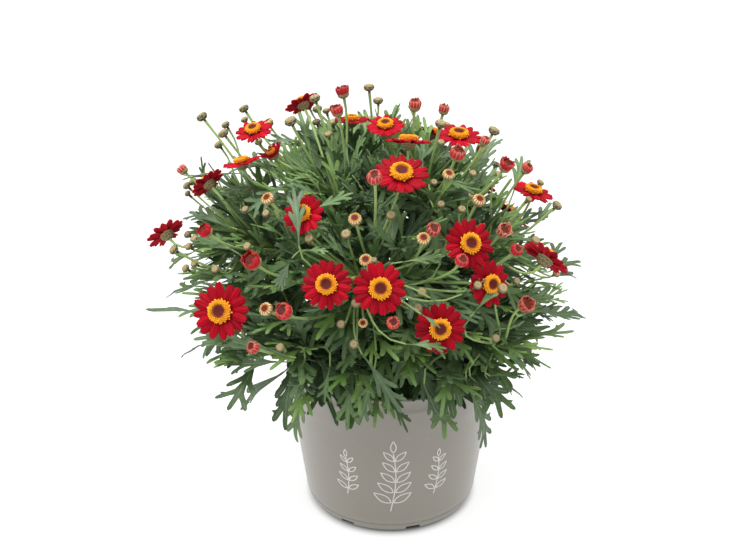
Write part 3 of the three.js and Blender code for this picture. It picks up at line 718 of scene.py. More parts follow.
def tube(path, radii, around):
    """A skin round a path, without twist."""
    tangents = np.gradient(path, axis=0)
    side = unit(np.cross(tangents[0], [0.31, 0.52, 0.2]))
    rings = []
    for centre, tangent, radius in zip(path, tangents, radii):
        tangent = unit(tangent)
        side = unit(side - tangent * (side @ tangent))
        rings.append(ring_at(centre, radius, side, np.cross(tangent, side), around))
    return skin(np.array(rings))


def lathe(profile, around, ripple=None):
    """A skin round Z through (height, radius) points, with an optional ripple on each ring's radius."""
    turns = turns_round(around)
    rings = []
    for row, (height, radius) in enumerate(profile):
        out = radius * (1 + (ripple(row, turns) if ripple else 0 * turns))
        rings.append(np.stack([out * np.cos(turns), out * np.sin(turns), np.full(around, height)], axis=1))
    return skin(np.array(rings))


def rim_of(faces):
    """The edges that only one triangle has, in that triangle's own direction."""
    edges = [tuple(edge) for face in faces for edge in (face[[0, 1]], face[[1, 2]], face[[2, 0]])]
    known = set(edges)
    return np.array([edge for edge in edges if (edge[1], edge[0]) not in known])


def normals_of(points, faces):
    a, b, c = points[faces[:, 0]], points[faces[:, 1]], points[faces[:, 2]]
    across = np.cross(b - a, c - a)
    sums = np.zeros_like(points)
    for k in range(3):
        np.add.at(sums, faces[:, k], across)
    return sums / np.linalg.norm(sums, axis=1, keepdims=True)


def thicken(points, faces, rim, thickness):
    """A thin blade's two sides and its edge, and for each point whether it is on the underside."""
    count = len(points)
    lift = normals_of(points, faces) * thickness / 2
    a, b = rim.T
    edge = np.concatenate([
        np.stack([b, a, a + count], axis=1), np.stack([b, a + count, b + count], axis=1),
    ])
    both = np.concatenate([faces, faces[:, ::-1] + count, edge])
    under = np.concatenate([np.zeros(count), np.ones(count)])
    return np.vstack([points + lift, points - lift]), both, under


def spin(turn):
    """Turns about Z."""
    return np.array([[math.cos(turn), -math.sin(turn), 0], [math.sin(turn), math.cos(turn), 0], [0, 0, 1]])


def head_frame(head):
    """The placing of a head, whose own frame has +Z out of it."""
    reference = np.array([0.0, 1.0, 0.0]) if abs(head.faces[2]) > 0.98 else UP
    across = unit(np.cross(reference, head.faces))
    return placing_at(head.at, across, np.cross(head.faces, across), head.faces)


# Leaves

def rib_half_width(x):
    """Half the width of a unit leaf's middle, without its lobes."""
    return 0.013 + 0.036 * smooth_step(0.08, 0.46, x) - 0.012 * smooth_step(0.75, 1.0, x)


# The points of a lobe's edge: how far along it, and how far off its middle in widths. First comes the side
# nearer to the leaf's foot, plain or with a tooth, then the lobe's tip and its other side.
LOBE_FIRST = [(0.10, 0.62), (0.45, 0.50), (0.78, 0.50), (0.94, 0.30)]
TOOTHED_FIRST = [(0.10, 0.62), (0.40, 0.50), (0.50, 0.52), (0.72, 1.02), (0.70, 0.48), (0.94, 0.30)]
LOBE_SECOND = [(1.0, 0.0), (0.95, -0.28), (0.78, -0.48), (0.40, -0.46), (0.16, -0.62)]


def lobe_edge(start, ahead, length, width, tooth):
    """A lobe's edge, on the leaf's left side, that never cuts into the leaf's middle."""
    out = np.array([-ahead[1], ahead[0]])
    edge = []
    for along, off in (TOOTHED_FIRST if tooth else LOBE_FIRST) + LOBE_SECOND:
        at = start + ahead * length * along + out * width * off
        edge.append((at[0], max(at[1], rib_half_width(at[0]) * 0.9)))
    return edge


def leaf_lines(lobes, draw):
    """A unit leaf's outline and the points of its veins.

    A lobe is (place on the rib, side, length, angle, width, tooth)."""
    edges = {1: [], -1: []}
    veins = [(x, 0.0) for x in np.linspace(0.06, 0.94, 10)]
    for place, side, length, angle, width, tooth in sorted(lobes):
        length = length * (0.9 + 0.2 * draw())
        turn = math.radians(angle + 10 * (draw() - 0.5))
        ahead = np.array([math.cos(turn), math.sin(turn)])
        start = np.array([place, 0.6 * rib_half_width(place)])
        edges[side] += lobe_edge(start, ahead, length, width, tooth)
        veins += [tuple((start + ahead * length * share) * [1, side]) for share in (0.3, 0.6, 0.85)]
    stalk = [(x, rib_half_width(x)) for x in (0.12, 0.24)]
    crown = [(0.90, 0.040), (0.96, 0.034), (0.995, 0.014)]
    mirrored = [(x, -y) for x, y in stalk + edges[-1] + crown]
    foot = [(-0.02, -0.010), (-0.02, 0.010)]
    return foot + stalk + edges[1] + crown + mirrored[::-1], veins


def leaf_pattern(lobes, seed):
    """A unit leaf, flat, along +X: its points, triangles and rim, and how near each point is to a vein."""
    outline, veins = leaf_lines(lobes, seeded_draws(seed))
    around = len(outline)
    loop = [(k, (k + 1) % around) for k in range(around)]
    found = delaunay_2d_cdt([Vector(p) for p in outline + veins], loop, [], 1, 1e-5)
    points = np.array([tuple(p) for p in found[0]])
    faces = np.array(found[2], int)
    vein = np.array([1.0 if any(k >= around for k in source) else 0.0 for source in found[3]])
    flat = np.column_stack([points, np.zeros(len(points))])
    a, b, c = (flat[faces[:, k]] for k in range(3))
    facing_down = np.cross(b - a, c - a)[:, 2] < 0
    faces[facing_down] = faces[facing_down][:, ::-1]
    return SimpleNamespace(points=flat, faces=faces, rim=rim_of(faces), vein=vein)


def lobed(pairs, first, last, reach, shift, angle=40, width=0.078):
    """Lobes in pairs along a leaf, each side's a little further on than the other's."""
    lobes = []
    for k in range(pairs):
        place = lerp(first, last, k / max(1, pairs - 1))
        length = reach * (1.0 if 0 < k < pairs - 1 or pairs < 3 else 0.84)
        for side in (1, -1):
            tooth = length > 0.2 and (k + side) % 2 == 0
            lobes.append((place + shift * side, side, length, angle, width, tooth))
    return lobes


# By the leaf's pairs of lobes
LEAF_PATTERNS = {
    3: [
        leaf_pattern(lobed(3, 0.34, 0.70, 0.30, 0.025), 11),
        leaf_pattern(lobed(3, 0.30, 0.72, 0.27, -0.03, angle=44), 12),
        leaf_pattern(lobed(3, 0.36, 0.74, 0.33, 0.02, angle=36, width=0.088), 13),
        leaf_pattern(lobed(4, 0.28, 0.76, 0.25, 0.03, angle=42, width=0.068), 14),
    ],
    2: [
        leaf_pattern(lobed(2, 0.42, 0.66, 0.30, 0.03), 21),
        leaf_pattern(lobed(2, 0.40, 0.68, 0.26, -0.035, angle=36, width=0.088), 22),
        leaf_pattern(lobed(2, 0.46, 0.70, 0.32, 0.02, angle=44), 23),
    ],
    1: [
        leaf_pattern(lobed(1, 0.55, 0.55, 0.32, 0.04, angle=34, width=0.088), 31),
        leaf_pattern(lobed(1, 0.48, 0.48, 0.26, -0.05, angle=30, width=0.10), 32),
    ],
    0: [
        leaf_pattern(lobed(1, 0.50, 0.50, 0.14, 0.04, angle=10, width=0.03), 41),
    ],
}


def any_leaf(pairs, draw):
    """One of the patterns with this many pairs of lobes."""
    patterns = LEAF_PATTERNS[pairs]
    return patterns[int(draw() * len(patterns))]


def add_leaf(leaves, pattern, placing, length, droop, draw, young, lightest=1.0, slim=1.0):
    """One leaf, bent down along its rib, folded at the rib, and a little twisted and waved."""
    x, y, _ = (pattern.points * length).T
    y = y * slim * min(1.0, BROAD_LEAF / length) ** 0.7
    reach = np.clip(x, 0, None) / length
    side = np.abs(y) / length
    fold = 0.22 + 0.14 * (draw() - 0.5)
    curl = 0.9 * draw()
    wave = 0.02 * math.sin(math.tau * draw())
    z = -droop * reach ** 2 + fold * side - curl * side ** 2 - 0.006 * pattern.vein
    z = z + wave * np.sin(9 * reach + 5 * y / length)
    sway = 0.16 * (draw() - 0.5)
    y = y + sway * length * reach ** 2
    twist = 0.7 * (draw() - 0.5) * reach
    z = z * length
    c, s = np.cos(twist), np.sin(twist)
    bent = np.stack([x, y * c - z * s, y * s + z * c], axis=1)
    points, faces, under = thicken(placed(bent, placing), pattern.faces, pattern.rim, LEAF_THICKNESS)
    # Leaves deep inside the bush get a low tint, which the leaf finish turns into a much darker green: painted
    # shade.
    depth = np.linalg.norm((placing[:3, 3] - DOME_CENTRE) / FOLIAGE_RADII)
    tint = lightest * draw() * (0.10 + 0.90 * smooth_step(0.40, 0.92, depth))
    leaves.add(points, faces, under=under, vein=np.tile(pattern.vein, 2), young=young, tint=tint)


# Room round the blooms: growth keeps out of what a bloom looks at, and out of the way to it from the front

def rooms_of(heads):
    """Cylinders to keep free: the foot, the axis, the radius and the length of each."""
    rooms = []
    for head in heads:
        radius = 0.5 * head.across if head.kind == "bloom" else 1.3 * BUD_RADIUS
        ahead = CLEAR_AHEAD_OF_BLOOM if head.kind == "bloom" else CLEAR_AHEAD_OF_BUD
        rooms.append((head.at - head.faces * 0.002, head.faces, radius * 1.06 + 0.002, ahead))
        if head.at[1] < FRONT_HALF:
            rooms.append((head.at, unit(CAMERA_PLACE - head.at), radius * 0.9, CLEAR_TO_CAMERA))
    return rooms


class Room:
    """Which points stand in a cylinder in front of a head, or before or beside the pot's wall."""

    def __init__(self, rooms):
        self.feet, self.axes, self.radii, self.lengths = (np.array(column) for column in zip(*rooms))

    def holds(self, points):
        across = np.linalg.norm(points[:, :2], axis=1)
        columns, rows = in_photograph(points)
        before_pot = (points[:, 2] < CLEAR_BELOW) & (across < CLEAR_REACH)
        beside_pot = (rows > CLEAR_ROW) & ((columns < CLEAR_LEFT) | (columns > CLEAR_RIGHT))
        if ((before_pot | beside_pot) & (points[:, 1] < 0)).any():
            return True
        away = points[:, None, :] - self.feet[None]
        along = np.einsum("ijk,jk->ij", away, self.axes)
        off = np.linalg.norm(away - along[..., None] * self.axes[None], axis=2)
        return bool(((along > 0) & (along < self.lengths) & (off < self.radii)).any())


def leaf_samples(placing, length, droop):
    """A few places along a leaf and on its lobes."""
    spots = np.array([[0.35, 0, 0], [0.6, 0.2, 0.03], [0.6, -0.2, 0.03], [0.8, 0, 0], [1.0, 0, 0]])
    spots[:, 2] -= droop * spots[:, 0] ** 2
    return placed(spots * length, placing)


def in_photograph(points):
    """The columns and rows of the photograph where these places are seen."""
    away = points - CAMERA_PLACE
    ahead, above = away @ CAMERA_AHEAD, away @ CAMERA_ABOVE
    return AXIS_COLUMN + FOCAL_LENGTH * away[:, 0] / ahead, MIDDLE_ROW - FOCAL_LENGTH * above / ahead


def seen_at(column, row, nearer):
    """The place on the bush's surface that the photograph shows there, or the nearest one to that line."""
    across, up = (column - AXIS_COLUMN) / FOCAL_LENGTH, (MIDDLE_ROW - row) / FOCAL_LENGTH
    line = (CAMERA_AHEAD + CAMERA_ABOVE * up + np.array([1.0, 0, 0]) * across) / FOLIAGE_RADII
    start = (CAMERA_PLACE - DOME_CENTRE) / FOLIAGE_RADII
    a, b, c = line @ line, line @ start, start @ start - (1 + nearer) ** 2
    reach = (-b - math.sqrt(max(b * b - a * c, 0.0))) / a
    return DOME_CENTRE + (start + line * reach) * FOLIAGE_RADII


# Twigs

def twig_to(stems, tip, arriving, thick=TWIG_RADIUS):
    """A twig to this tip from the stem that suits it best."""
    stem, share, root = root_for(stems, tip, TWIG_SHORTEST)
    length = np.linalg.norm(tip - root)
    leaving = unit(stem.curve.tangent(share) + unit(tip - root))
    curve = Bend(root, root + leaving * 0.35 * length, tip - arriving * 0.35 * length, tip)
    return SimpleNamespace(stem=stem, curve=curve, thick=thick)


def lay_twigs(stems, room):
    """Twigs from the nearest stems, with tips spread over the dome."""
    draw = seeded_draws(TWIG_SEED)
    twigs = []
    for k in range(TWIGS):
        rise = lerp(TWIG_LOWEST, 1.0, (k + 0.5) / TWIGS)
        bearing = GOLDEN_TURN * k + 12 * (draw() - 0.5)
        heading = from_bearing(bearing, math.sqrt(1 - rise * rise), rise)
        tip = TWIG_DOME_CENTRE + heading * TWIG_DOME_RADII * (0.90 + 0.16 * draw())
        if room.holds(tip[None]):
            tip = TWIG_DOME_CENTRE + heading * TWIG_DOME_RADII * 0.78
        twig = twig_to(stems, tip, unit(heading + [0, 0, 0.55]))
        twig.rise, twig.draw = rise, draw()
        twigs.append(twig)
    return twigs


def leafy_twig(twig, leaves, room, draw, first=0.14, size=1.0):
    """Leaves in a spiral up a twig, the largest ones first, and a tuft of small ones at its tip."""
    count = max(4, int(twig.curve.length / LEAF_SPACING))
    for k in range(count + TUFT_LEAVES):
        tuft = k >= count
        share = 0.97 if tuft else lerp(first, 0.95, k / count)
        param = twig.curve.share_along(share)
        root, tangent = twig.curve.at(param), twig.curve.tangent(param)
        across = unit(np.cross(UP + [0.01, 0, 0], tangent))
        above = np.cross(tangent, across)
        length = TUFT_LEAF if tuft else lerp(TWIG_LEAF_LOW, TWIG_LEAF_HIGH, share)
        length = size * length * (0.82 + 0.36 * draw())
        spread = math.radians((24 if tuft else lerp(66, 40, share)) + 18 * (draw() - 0.5))
        droop = lerp(0.34, 0.08, max(0.0, twig.rise)) + 0.16 * (draw() - 0.5)
        pairs = 1 if tuft or draw() < 0.15 else (3 if length > THREE_PAIRS_FROM else 2)
        young = (0.5 if tuft else 0.16) + 0.3 * draw()
        pattern = any_leaf(pairs, draw)
        for choice in TWIG_LEAF_TURN_CHOICES:
            turn = math.radians(LEAF_TURN * k + 360 * twig.draw + choice)
            out = unit(leaning(tangent, across, above, turn, spread))
            if abs(out[2]) > STEEPEST_LEAF:
                continue
            placing = leaf_frame(root, out)
            if not room.holds(leaf_samples(placing, length, droop)):
                add_leaf(leaves, pattern, placing, length, droop, draw, young)
                break


def spray_twig(spray, leaves, draw):
    """A twig along a spray's rib, with the leaves that the spray has."""
    placing = leaf_frame(spray.root, spray.out)
    rib = np.array([[0, 0, 0], [1 / 3, 0, 0], [2 / 3, 0, -SPRAY_ARCH / 3], [1, 0, -SPRAY_ARCH]])
    curve = Bend(*placed(rib * spray.length, placing))
    angle = math.radians(SPRAY_LEAF_ANGLE)
    for place, side, long in SPRAY_LEAVES:
        out = unit([math.cos(angle), side * math.sin(angle), SPRAY_FOLD * math.sin(angle)])
        length = max(SPRAY_LEAF_SHORTEST, 1.15 * long * spray.length)
        young = 0.2 + 0.3 * draw()
        own_place = leaf_frame(curve.at(place), placing[:3, :3] @ out)
        add_leaf(leaves, any_leaf(2, draw), own_place, length, 0.1, draw, young)
    return SimpleNamespace(stem=spray.stem, curve=curve, thick=TWIG_RADIUS, rise=0.5, draw=draw())


def leaf_to(root, tip, droop, roll=0.0):
    """The place of a leaf with its root and tip given, its blade turned half to the camera, then rolled."""
    chord = tip - root
    length = np.linalg.norm(chord)
    facing = unit(unit(CAMERA_PLACE - root) + 0.8 * UP)
    above = unit(facing - (facing @ chord) * chord / length ** 2)
    out = unit(chord / length + droop * above)
    above = unit(above - (above @ out) * out)
    across = np.cross(above, out)
    c, s = math.cos(math.radians(roll)), math.sin(math.radians(roll))
    return placing_at(root, out, across * c + above * s, above * c - across * s), length


def seen_leaves(stems, growth_of, draw):
    """The leaves that stand out in the photograph, each on a twig from the nearest stem."""
    for root_place, tip_place, pairs, nearer, *roll in SEEN_LEAVES:
        root, tip = seen_at(*root_place, nearer - 0.04), seen_at(*tip_place, nearer)
        twig = twig_to(stems, root, unit(tip - root), thick=SEEN_LEAF_STALK)
        growth = growth_of[twig.stem.number]
        twig_stalk(twig, growth.stalks, draw)
        droop = 0.12 + 0.1 * draw()
        placing, length = leaf_to(root, tip, droop, *roll)
        pattern = any_leaf(pairs, draw)
        young = 0.12 + 0.3 * draw()
        add_leaf(growth.leaves, pattern, placing, length, droop, draw, young, lightest=0.6, slim=0.76)


# Heads: cups, buds and blooms in their own frames, +Z out of the head

def add_scaly(stalks, profile, placing, tan, rows=4, scales=7, tint=0.5):
    """A lathed bud or cup with rows of overlapping pointed scales, every second row half a scale on."""
    around = 4 * scales
    up = np.linspace(0, rows, len(profile))

    def ripple(row, turns):
        level = int(min(up[row], rows - 1e-6))
        within = up[row] - level
        across = np.abs(np.mod(turns * scales / (2 * math.pi) + 0.5 * (level % 2), 1) * 2 - 1)
        return SCALE_RISE * within * (1 - 0.8 * across ** 2)

    points, faces = lathe(profile, around, ripple)
    turns = np.tile(turns_round(around), len(profile))
    turn_x, turn_y = np.append(np.cos(turns), [0, 0]), np.append(np.sin(turns), [0, 0])
    crown = by_ring(np.clip(tan + 0.7 * smooth_step(0.60, 0.95, up / rows), 0, 1), around)
    stalks.add(placed(points, placing), faces, scale_row=by_ring(up, around), scales=scales, tan=crown,
               turn_x=turn_x, turn_y=turn_y, wood=0, tint=tint)


def add_stalk(stalks, curve, radii, tint, around=7, wood=0.0):
    """A round stalk along a curve, with these radii at even steps, and how woody it is."""
    even = np.linspace(0, 1, len(radii))
    points, faces = tube(curve.at(curve.share_along(even)), radii, around)
    wood = by_ring(wood + 0 * even, around)
    stalks.add(points, faces, scale_row=-1, scales=0, tan=0, turn_x=1, turn_y=0, wood=wood, tint=tint)


def ball_profile(foot, foot_radius, wide, wide_radius, top, top_radius):
    """A rounded bud: its (height, radius) points from its foot over its widest place to its flat top."""
    low = [
        (lerp(wide, foot, math.cos(turn)), lerp(foot_radius, wide_radius, math.sin(turn)))
        for turn in np.linspace(0, math.pi / 2, BALL_ROWS)
    ]
    high = [
        (lerp(wide, top, math.sin(turn)), lerp(top_radius, wide_radius, math.cos(turn)))
        for turn in np.linspace(0, math.pi / 2, BALL_ROWS + 1)
    ]
    return low + high[1:]


def neck_of(head):
    """The place of a bud's profile where its peduncle ends."""
    return [(-BUD_DEPTHS[head.kind] * BUD_RADIUS, 0.9 * PEDUNCLE_RADIUS)]


def closed_bud(head, growth, draw):
    """A green ball of scales with a dent at its top."""
    r = BUD_RADIUS * (0.88 + 0.18 * draw()) * head.size
    ball = ball_profile(-0.9 * r, 0.9 * PEDUNCLE_RADIUS, -0.2 * r, r, 0.35 * r, 0.5 * r)
    profile = neck_of(head) + ball + [(0.25 * r, 0.12 * r)]
    add_scaly(growth.stalks, profile, head_frame(head), tan=0.35 * draw() ** 2, tint=draw())


def petal_shape(rows, columns, shares, widths):
    """A petal's grid, and its width at these shares of its length."""
    a = np.arange(rows - 1)[:, None] * columns + np.arange(columns - 1)[None]
    a = a.ravel()
    faces = np.concatenate([
        np.stack([a, a + columns, a + columns + 1], axis=1), np.stack([a, a + columns + 1, a + 1], axis=1),
    ])
    return SimpleNamespace(
        rows=rows, columns=columns, faces=faces, rim=rim_of(faces), widths=(shares, widths))


RAY = petal_shape(9, 7, [0, 0.2, 0.5, 0.74, 0.9, 1.0], [0.52, 0.78, 1.0, 0.97, 0.76, 0.40])
TONGUE = petal_shape(6, 5, [0, 0.3, 0.7, 0.9, 1.0], [0.8, 0.95, 1.0, 0.8, 0.4])


def add_petal(petals, placing, base, length, width, headings, turn, height, draw, shape=RAY, cup=-0.18,
              pale=0.0, thickness=RAY_THICKNESS, shade=0.5):
    """A petal whose line climbs away from the disc at the first heading and ends at the second."""
    t = np.linspace(0, 1, shape.rows)
    v = np.linspace(-1, 1, shape.columns)
    climb = np.radians(lerp(headings[0], headings[1], t))
    step = length / (shape.rows - 1)
    out = base + step * np.concatenate([[0], np.cumsum(np.cos(climb[1:]))])
    up = height + step * np.concatenate([[0], np.cumsum(np.sin(climb[1:]))])
    half = 0.5 * width * np.interp(t, *shape.widths)
    dent = 0.3 * np.cos(v * math.pi * 1.5) - 0.7 * v ** 2
    notch = 0.04 * length * smooth_step(0.8, 1.0, t)[:, None] * dent[None]
    groove = 0.035 * width * np.cos(3 * math.pi * v)[None] * smooth_step(0.05, 0.4, t)[:, None]
    bow = cup * width * (v ** 2)[None] * np.ones(shape.rows)[:, None]
    lift = groove + bow
    x = out[:, None] - notch * np.cos(climb)[:, None] - lift * np.sin(climb)[:, None]
    z = up[:, None] - notch * np.sin(climb)[:, None] + lift * np.cos(climb)[:, None]
    sway = 0.12 * (draw() - 0.5) * length
    y = half[:, None] * v[None] + sway * (t ** 2)[:, None]
    grid = np.stack([x, y, z], axis=2).reshape(-1, 3)
    spun = placed(grid @ spin(turn).T, placing)
    points, faces, under = thicken(spun, shape.faces, shape.rim, thickness)
    petals.add(points, faces, under=under, reach=np.tile(np.repeat(t, shape.columns), 2),
               lane=np.tile(np.tile(v, shape.rows), 2), tint=0.5 * shade + 0.5 * draw(), pale=pale)


# A disc's dome, hollow in the middle: (height, radius) points, in radii of the disc
DISC_DOME = [(0.0, 1.0), (0.16, 1.03), (0.34, 0.94), (0.43, 0.76), (0.42, 0.52), (0.37, 0.28), (0.35, 0.06)]
DISC_FACETS = 20
FLORET_SIDES = 4
FLORET_TURN = 2.39996            # the golden turn in radians


def dome_height(share):
    """The dome's height at a share of the disc's radius, both in radii of the disc."""
    heights, radii = zip(*DISC_DOME)
    return np.interp(-share, [-r for r in radii], heights)


def add_disc(florets, placing, radius, foot, draw, gold=0.60, count=BLOOM_FLORETS):
    """A low dome with florets in a spiral: open golden ones round shut maroon ones in a hollow."""
    profile = [(foot - 0.12 * radius, 0.9 * radius)]
    profile += [(foot + h * radius, r * radius * 0.97) for h, r in DISC_DOME]
    points, faces = lathe(profile, DISC_FACETS)
    share = by_ring(np.array([r / radius for _, r in profile]), DISC_FACETS)
    # The dome between the florets has tip 0, so it takes their darkest colour: painted shade among the
    # florets.
    florets.add(placed(points, placing), faces, share=share / gold * 0.5, tip=0, tint=0.5)
    for k in range(count):
        share = 0.06 + 0.96 * math.sqrt((k + 0.5) / count)
        opened = share > gold
        size = radius * (0.072 if opened else 0.052) * (0.9 + 0.3 * draw())
        tall = radius * (0.13 if opened else 0.06) * (0.8 + 0.4 * draw())
        slope = (dome_height(share - 0.04) - dome_height(share + 0.04)) / 0.08
        lean = unit([slope, 0, 1.0])
        side = np.array([0.0, 1.0, 0.0])
        other = np.cross(lean, side)
        centre = np.array([share * radius, 0, foot + dome_height(share) * radius])
        rings = []
        for up, out in ((-0.4, 0.8), (0.7, 1.1 if opened else 0.9), (1.0, 0.5)):
            rings.append(ring_at(centre + lean * tall * up, size * out, side, other, FLORET_SIDES))
        points, faces = skin(np.array(rings))
        # A floret is brightest at its widest ring and darker towards its foot: the dark foot is painted shade
        # among the florets.
        tip = by_ring(np.array([0.0, 1.0, 0.3]), FLORET_SIDES)
        spun = points @ spin(FLORET_TURN * k).T
        florets.add(placed(spun, placing), faces, share=share / gold * 0.5, tip=tip, tint=draw())


def bloom(head, petals, florets, stalks, draw):
    """An open bloom: two layers of rays, the disc, and the scaly cup behind."""
    radius = head.across / 2
    disc = DISC_SHARE * radius
    placing = head_frame(head)
    count = (LARGE_BLOOM_RAYS if head.across > LARGE_BLOOM else SMALL_BLOOM_RAYS) + int(2 * draw())
    width = 2 * math.pi * 0.72 * radius / count * 1.12
    start, shade = draw(), draw()
    for k in range(count):
        turn = 2 * math.pi * (k + start + 0.22 * (draw() - 0.5)) / count
        layer = RAY_LAYERS[k % 2]
        reach = (0.985 if k % 2 else 1.0) * (0.96 + 0.05 * draw())
        length = radius * reach - 0.6 * disc
        headings = (7 + 9 * draw(), -11 + 22 * draw())
        wide = width * (0.9 + 0.2 * draw())
        add_petal(petals, placing, 0.6 * disc, length, wide, headings, turn, layer, draw, shade=shade)
    add_disc(florets, placing, 0.92 * disc, SEAT_DEPTH + (PETAL_LIFT + 0.05) * disc, draw)
    mouth = -SEAT_DEPTH
    cup = CUP_SHARE * head.across
    profile = [(mouth - cup, PEDUNCLE_RADIUS), (mouth - 0.98 * cup, 1.6 * PEDUNCLE_RADIUS)]
    for share in np.linspace(0.9, 0.0, 12):
        profile.append((mouth - cup * share, cup * math.sqrt(1 - share * share)))
    add_scaly(stalks, profile + [(mouth, 0.4 * cup)], placing, rows=3, scales=9, tan=0.3)


def half_open_bud(head, growth, draw):
    """A short wide cup of petals, bent in at their tips round a dark middle, in a scaly calyx."""
    r = BUD_RADIUS * head.size
    placing = head_frame(head)
    neck = neck_of(head)
    foot = max(-1.65 * r, neck[0][0] + 0.0002)
    wide = max(-0.95 * r, foot + 0.5 * r)
    calyx = ball_profile(foot, 0.9 * PEDUNCLE_RADIUS, wide, 0.96 * r, wide + 0.3 * r, r)
    add_scaly(growth.stalks, neck + calyx + [(wide + 0.3 * r, 0.3 * r)], placing, tan=0.6, tint=0.6)
    cupped = min(1.0, head.openness)
    for ring, count in enumerate(HALF_OPEN_RINGS):
        for k in range(count):
            turn = 2 * math.pi * (k + 0.5 * ring + 0.2 * (draw() - 0.5)) / count
            first = lerp(34, 52, cupped) + 6 * draw() + 14 * ring
            last = lerp(142, 92, head.openness) + 26 * (draw() - 0.5) - 22 * ring
            length = lerp(1.30, 1.58, cupped) * r * (0.86 + 0.28 * draw()) * (1 - 0.08 * ring)
            pale = head.pale * (0.7 + 0.5 * draw())
            base = (0.85 - 0.12 * ring) * r
            add_petal(growth.petals, placing, base, length, 0.62 * r, (first, last), turn, wide, draw,
                      shape=TONGUE, cup=0.10, pale=min(0.8, pale), thickness=TONGUE_THICKNESS["half_open"])
    gold = 0.62 if head.openness > 1 else 0.97
    add_disc(growth.florets, placing, 0.75 * r, wide + 0.75 * r, draw, gold=gold, count=HALF_OPEN_FLORETS)


def straw_bud(head, growth, draw):
    """A flat-topped bud: a ring of short straw-coloured tips round a dark middle."""
    r = 1.1 * BUD_RADIUS * head.size * (0.95 + 0.1 * draw())
    placing = head_frame(head)
    body = ball_profile(-1.0 * r, 0.9 * PEDUNCLE_RADIUS, -0.35 * r, 0.94 * r, -0.05 * r, 0.90 * r)
    add_scaly(growth.stalks, neck_of(head) + body + [(-0.05 * r, 0.3 * r)], placing, rows=3, tan=0.45)
    for k in range(STRAW_TIPS):
        turn = 2 * math.pi * (k + 0.2 * (draw() - 0.5)) / STRAW_TIPS
        add_petal(growth.petals, placing, 0.85 * r, r * (0.46 + 0.08 * draw()), 0.36 * r, (80, 150), turn,
                  -0.1 * r, draw, shape=TONGUE, cup=-0.2, pale=1.0, thickness=TONGUE_THICKNESS["straw"])
    add_disc(growth.florets, placing, 0.75 * r, -0.02 * r, draw, gold=0.70, count=STRAW_FLORETS)


BUD_MAKERS = {"half_open": half_open_bud, "straw": straw_bud, "closed": closed_bud}


def peduncle(head, stalks, draw, thick=1.0):
    """The slender stalk of a head, a little thicker at both ends."""
    even = np.linspace(0, 1, 12)
    swell = 1 + 0.35 * smooth_step(0.9, 1.0, even) + 0.25 * (1 - even)
    add_stalk(stalks, head.curve, 0.78 * PEDUNCLE_RADIUS * swell * thick, tint=0.35 + 0.65 * draw())


def main_stem(stem, stalks):
    """A stem, brown and woody at the soil and green at its tip."""
    even = np.linspace(0, 1, 16)
    radii = STEM_RADIUS * np.interp(even, [0, 0.15, 1], [1.25, 1.05, 0.6])
    add_stalk(stalks, stem.curve, radii, around=9, wood=1 - smooth_step(0.15, 0.6, even), tint=0.2)


def twig_stalk(twig, stalks, draw):
    """A twig's own green stalk, thinner to its tip."""
    radii = np.linspace(twig.thick, 0.55 * twig.thick, 9)
    add_stalk(stalks, twig.curve, radii, around=6, tint=0.4 * draw())


def side_buds(stems, growth_of, draw):
    """Small buds on twigs of their own: some at the back, and those seen in the photograph."""
    heads = [bud_head("closed", at, size=0.9) for at in BACK_BUDS]
    for kind, size, nearer, places in SIDE_BUDS:
        for column, row in places:
            head = bud_head(kind, seen_at(column, row, nearer), size * (0.9 + 0.2 * draw()))
            head.faces = unit(head.faces + 0.3 * unit(CAMERA_PLACE - head.at))
            heads.append(head)
    for head in heads:
        twig = twig_to(stems, head.at - head.faces * head_depth(head), head.faces)
        head.curve = twig.curve
        growth = growth_of[twig.stem.number]
        peduncle(head, growth.stalks, draw, thick=0.8)
        BUD_MAKERS[head.kind](head, growth, draw)


# Shader maths

class Value:
    """A number that varies over a surface. Python's signs add the nodes that work it out."""

    def __init__(self, finish, socket):
        self.finish = finish
        self.socket = socket

    def maths(self, operation, *others):
        return self.finish.node("ShaderNodeMath", {"operation": operation}, [self, *others])

    def __add__(self, other):
        return self.maths("ADD", other)

    def __sub__(self, other):
        return self.maths("SUBTRACT", other)

    def __mul__(self, other):
        return self.maths("MULTIPLY", other)

    def __rsub__(self, other):
        return self.finish.node("ShaderNodeMath", {"operation": "SUBTRACT"}, [other, self])

    __radd__ = __add__
    __rmul__ = __mul__

    def between(self, low, high):
        """0 under low, 1 over high, and smooth between."""
        settings = {"interpolation_type": "SMOOTHSTEP"}
        inputs = {"Value": self, "From Min": low, "From Max": high}
        return self.finish.node("ShaderNodeMapRange", settings, inputs)


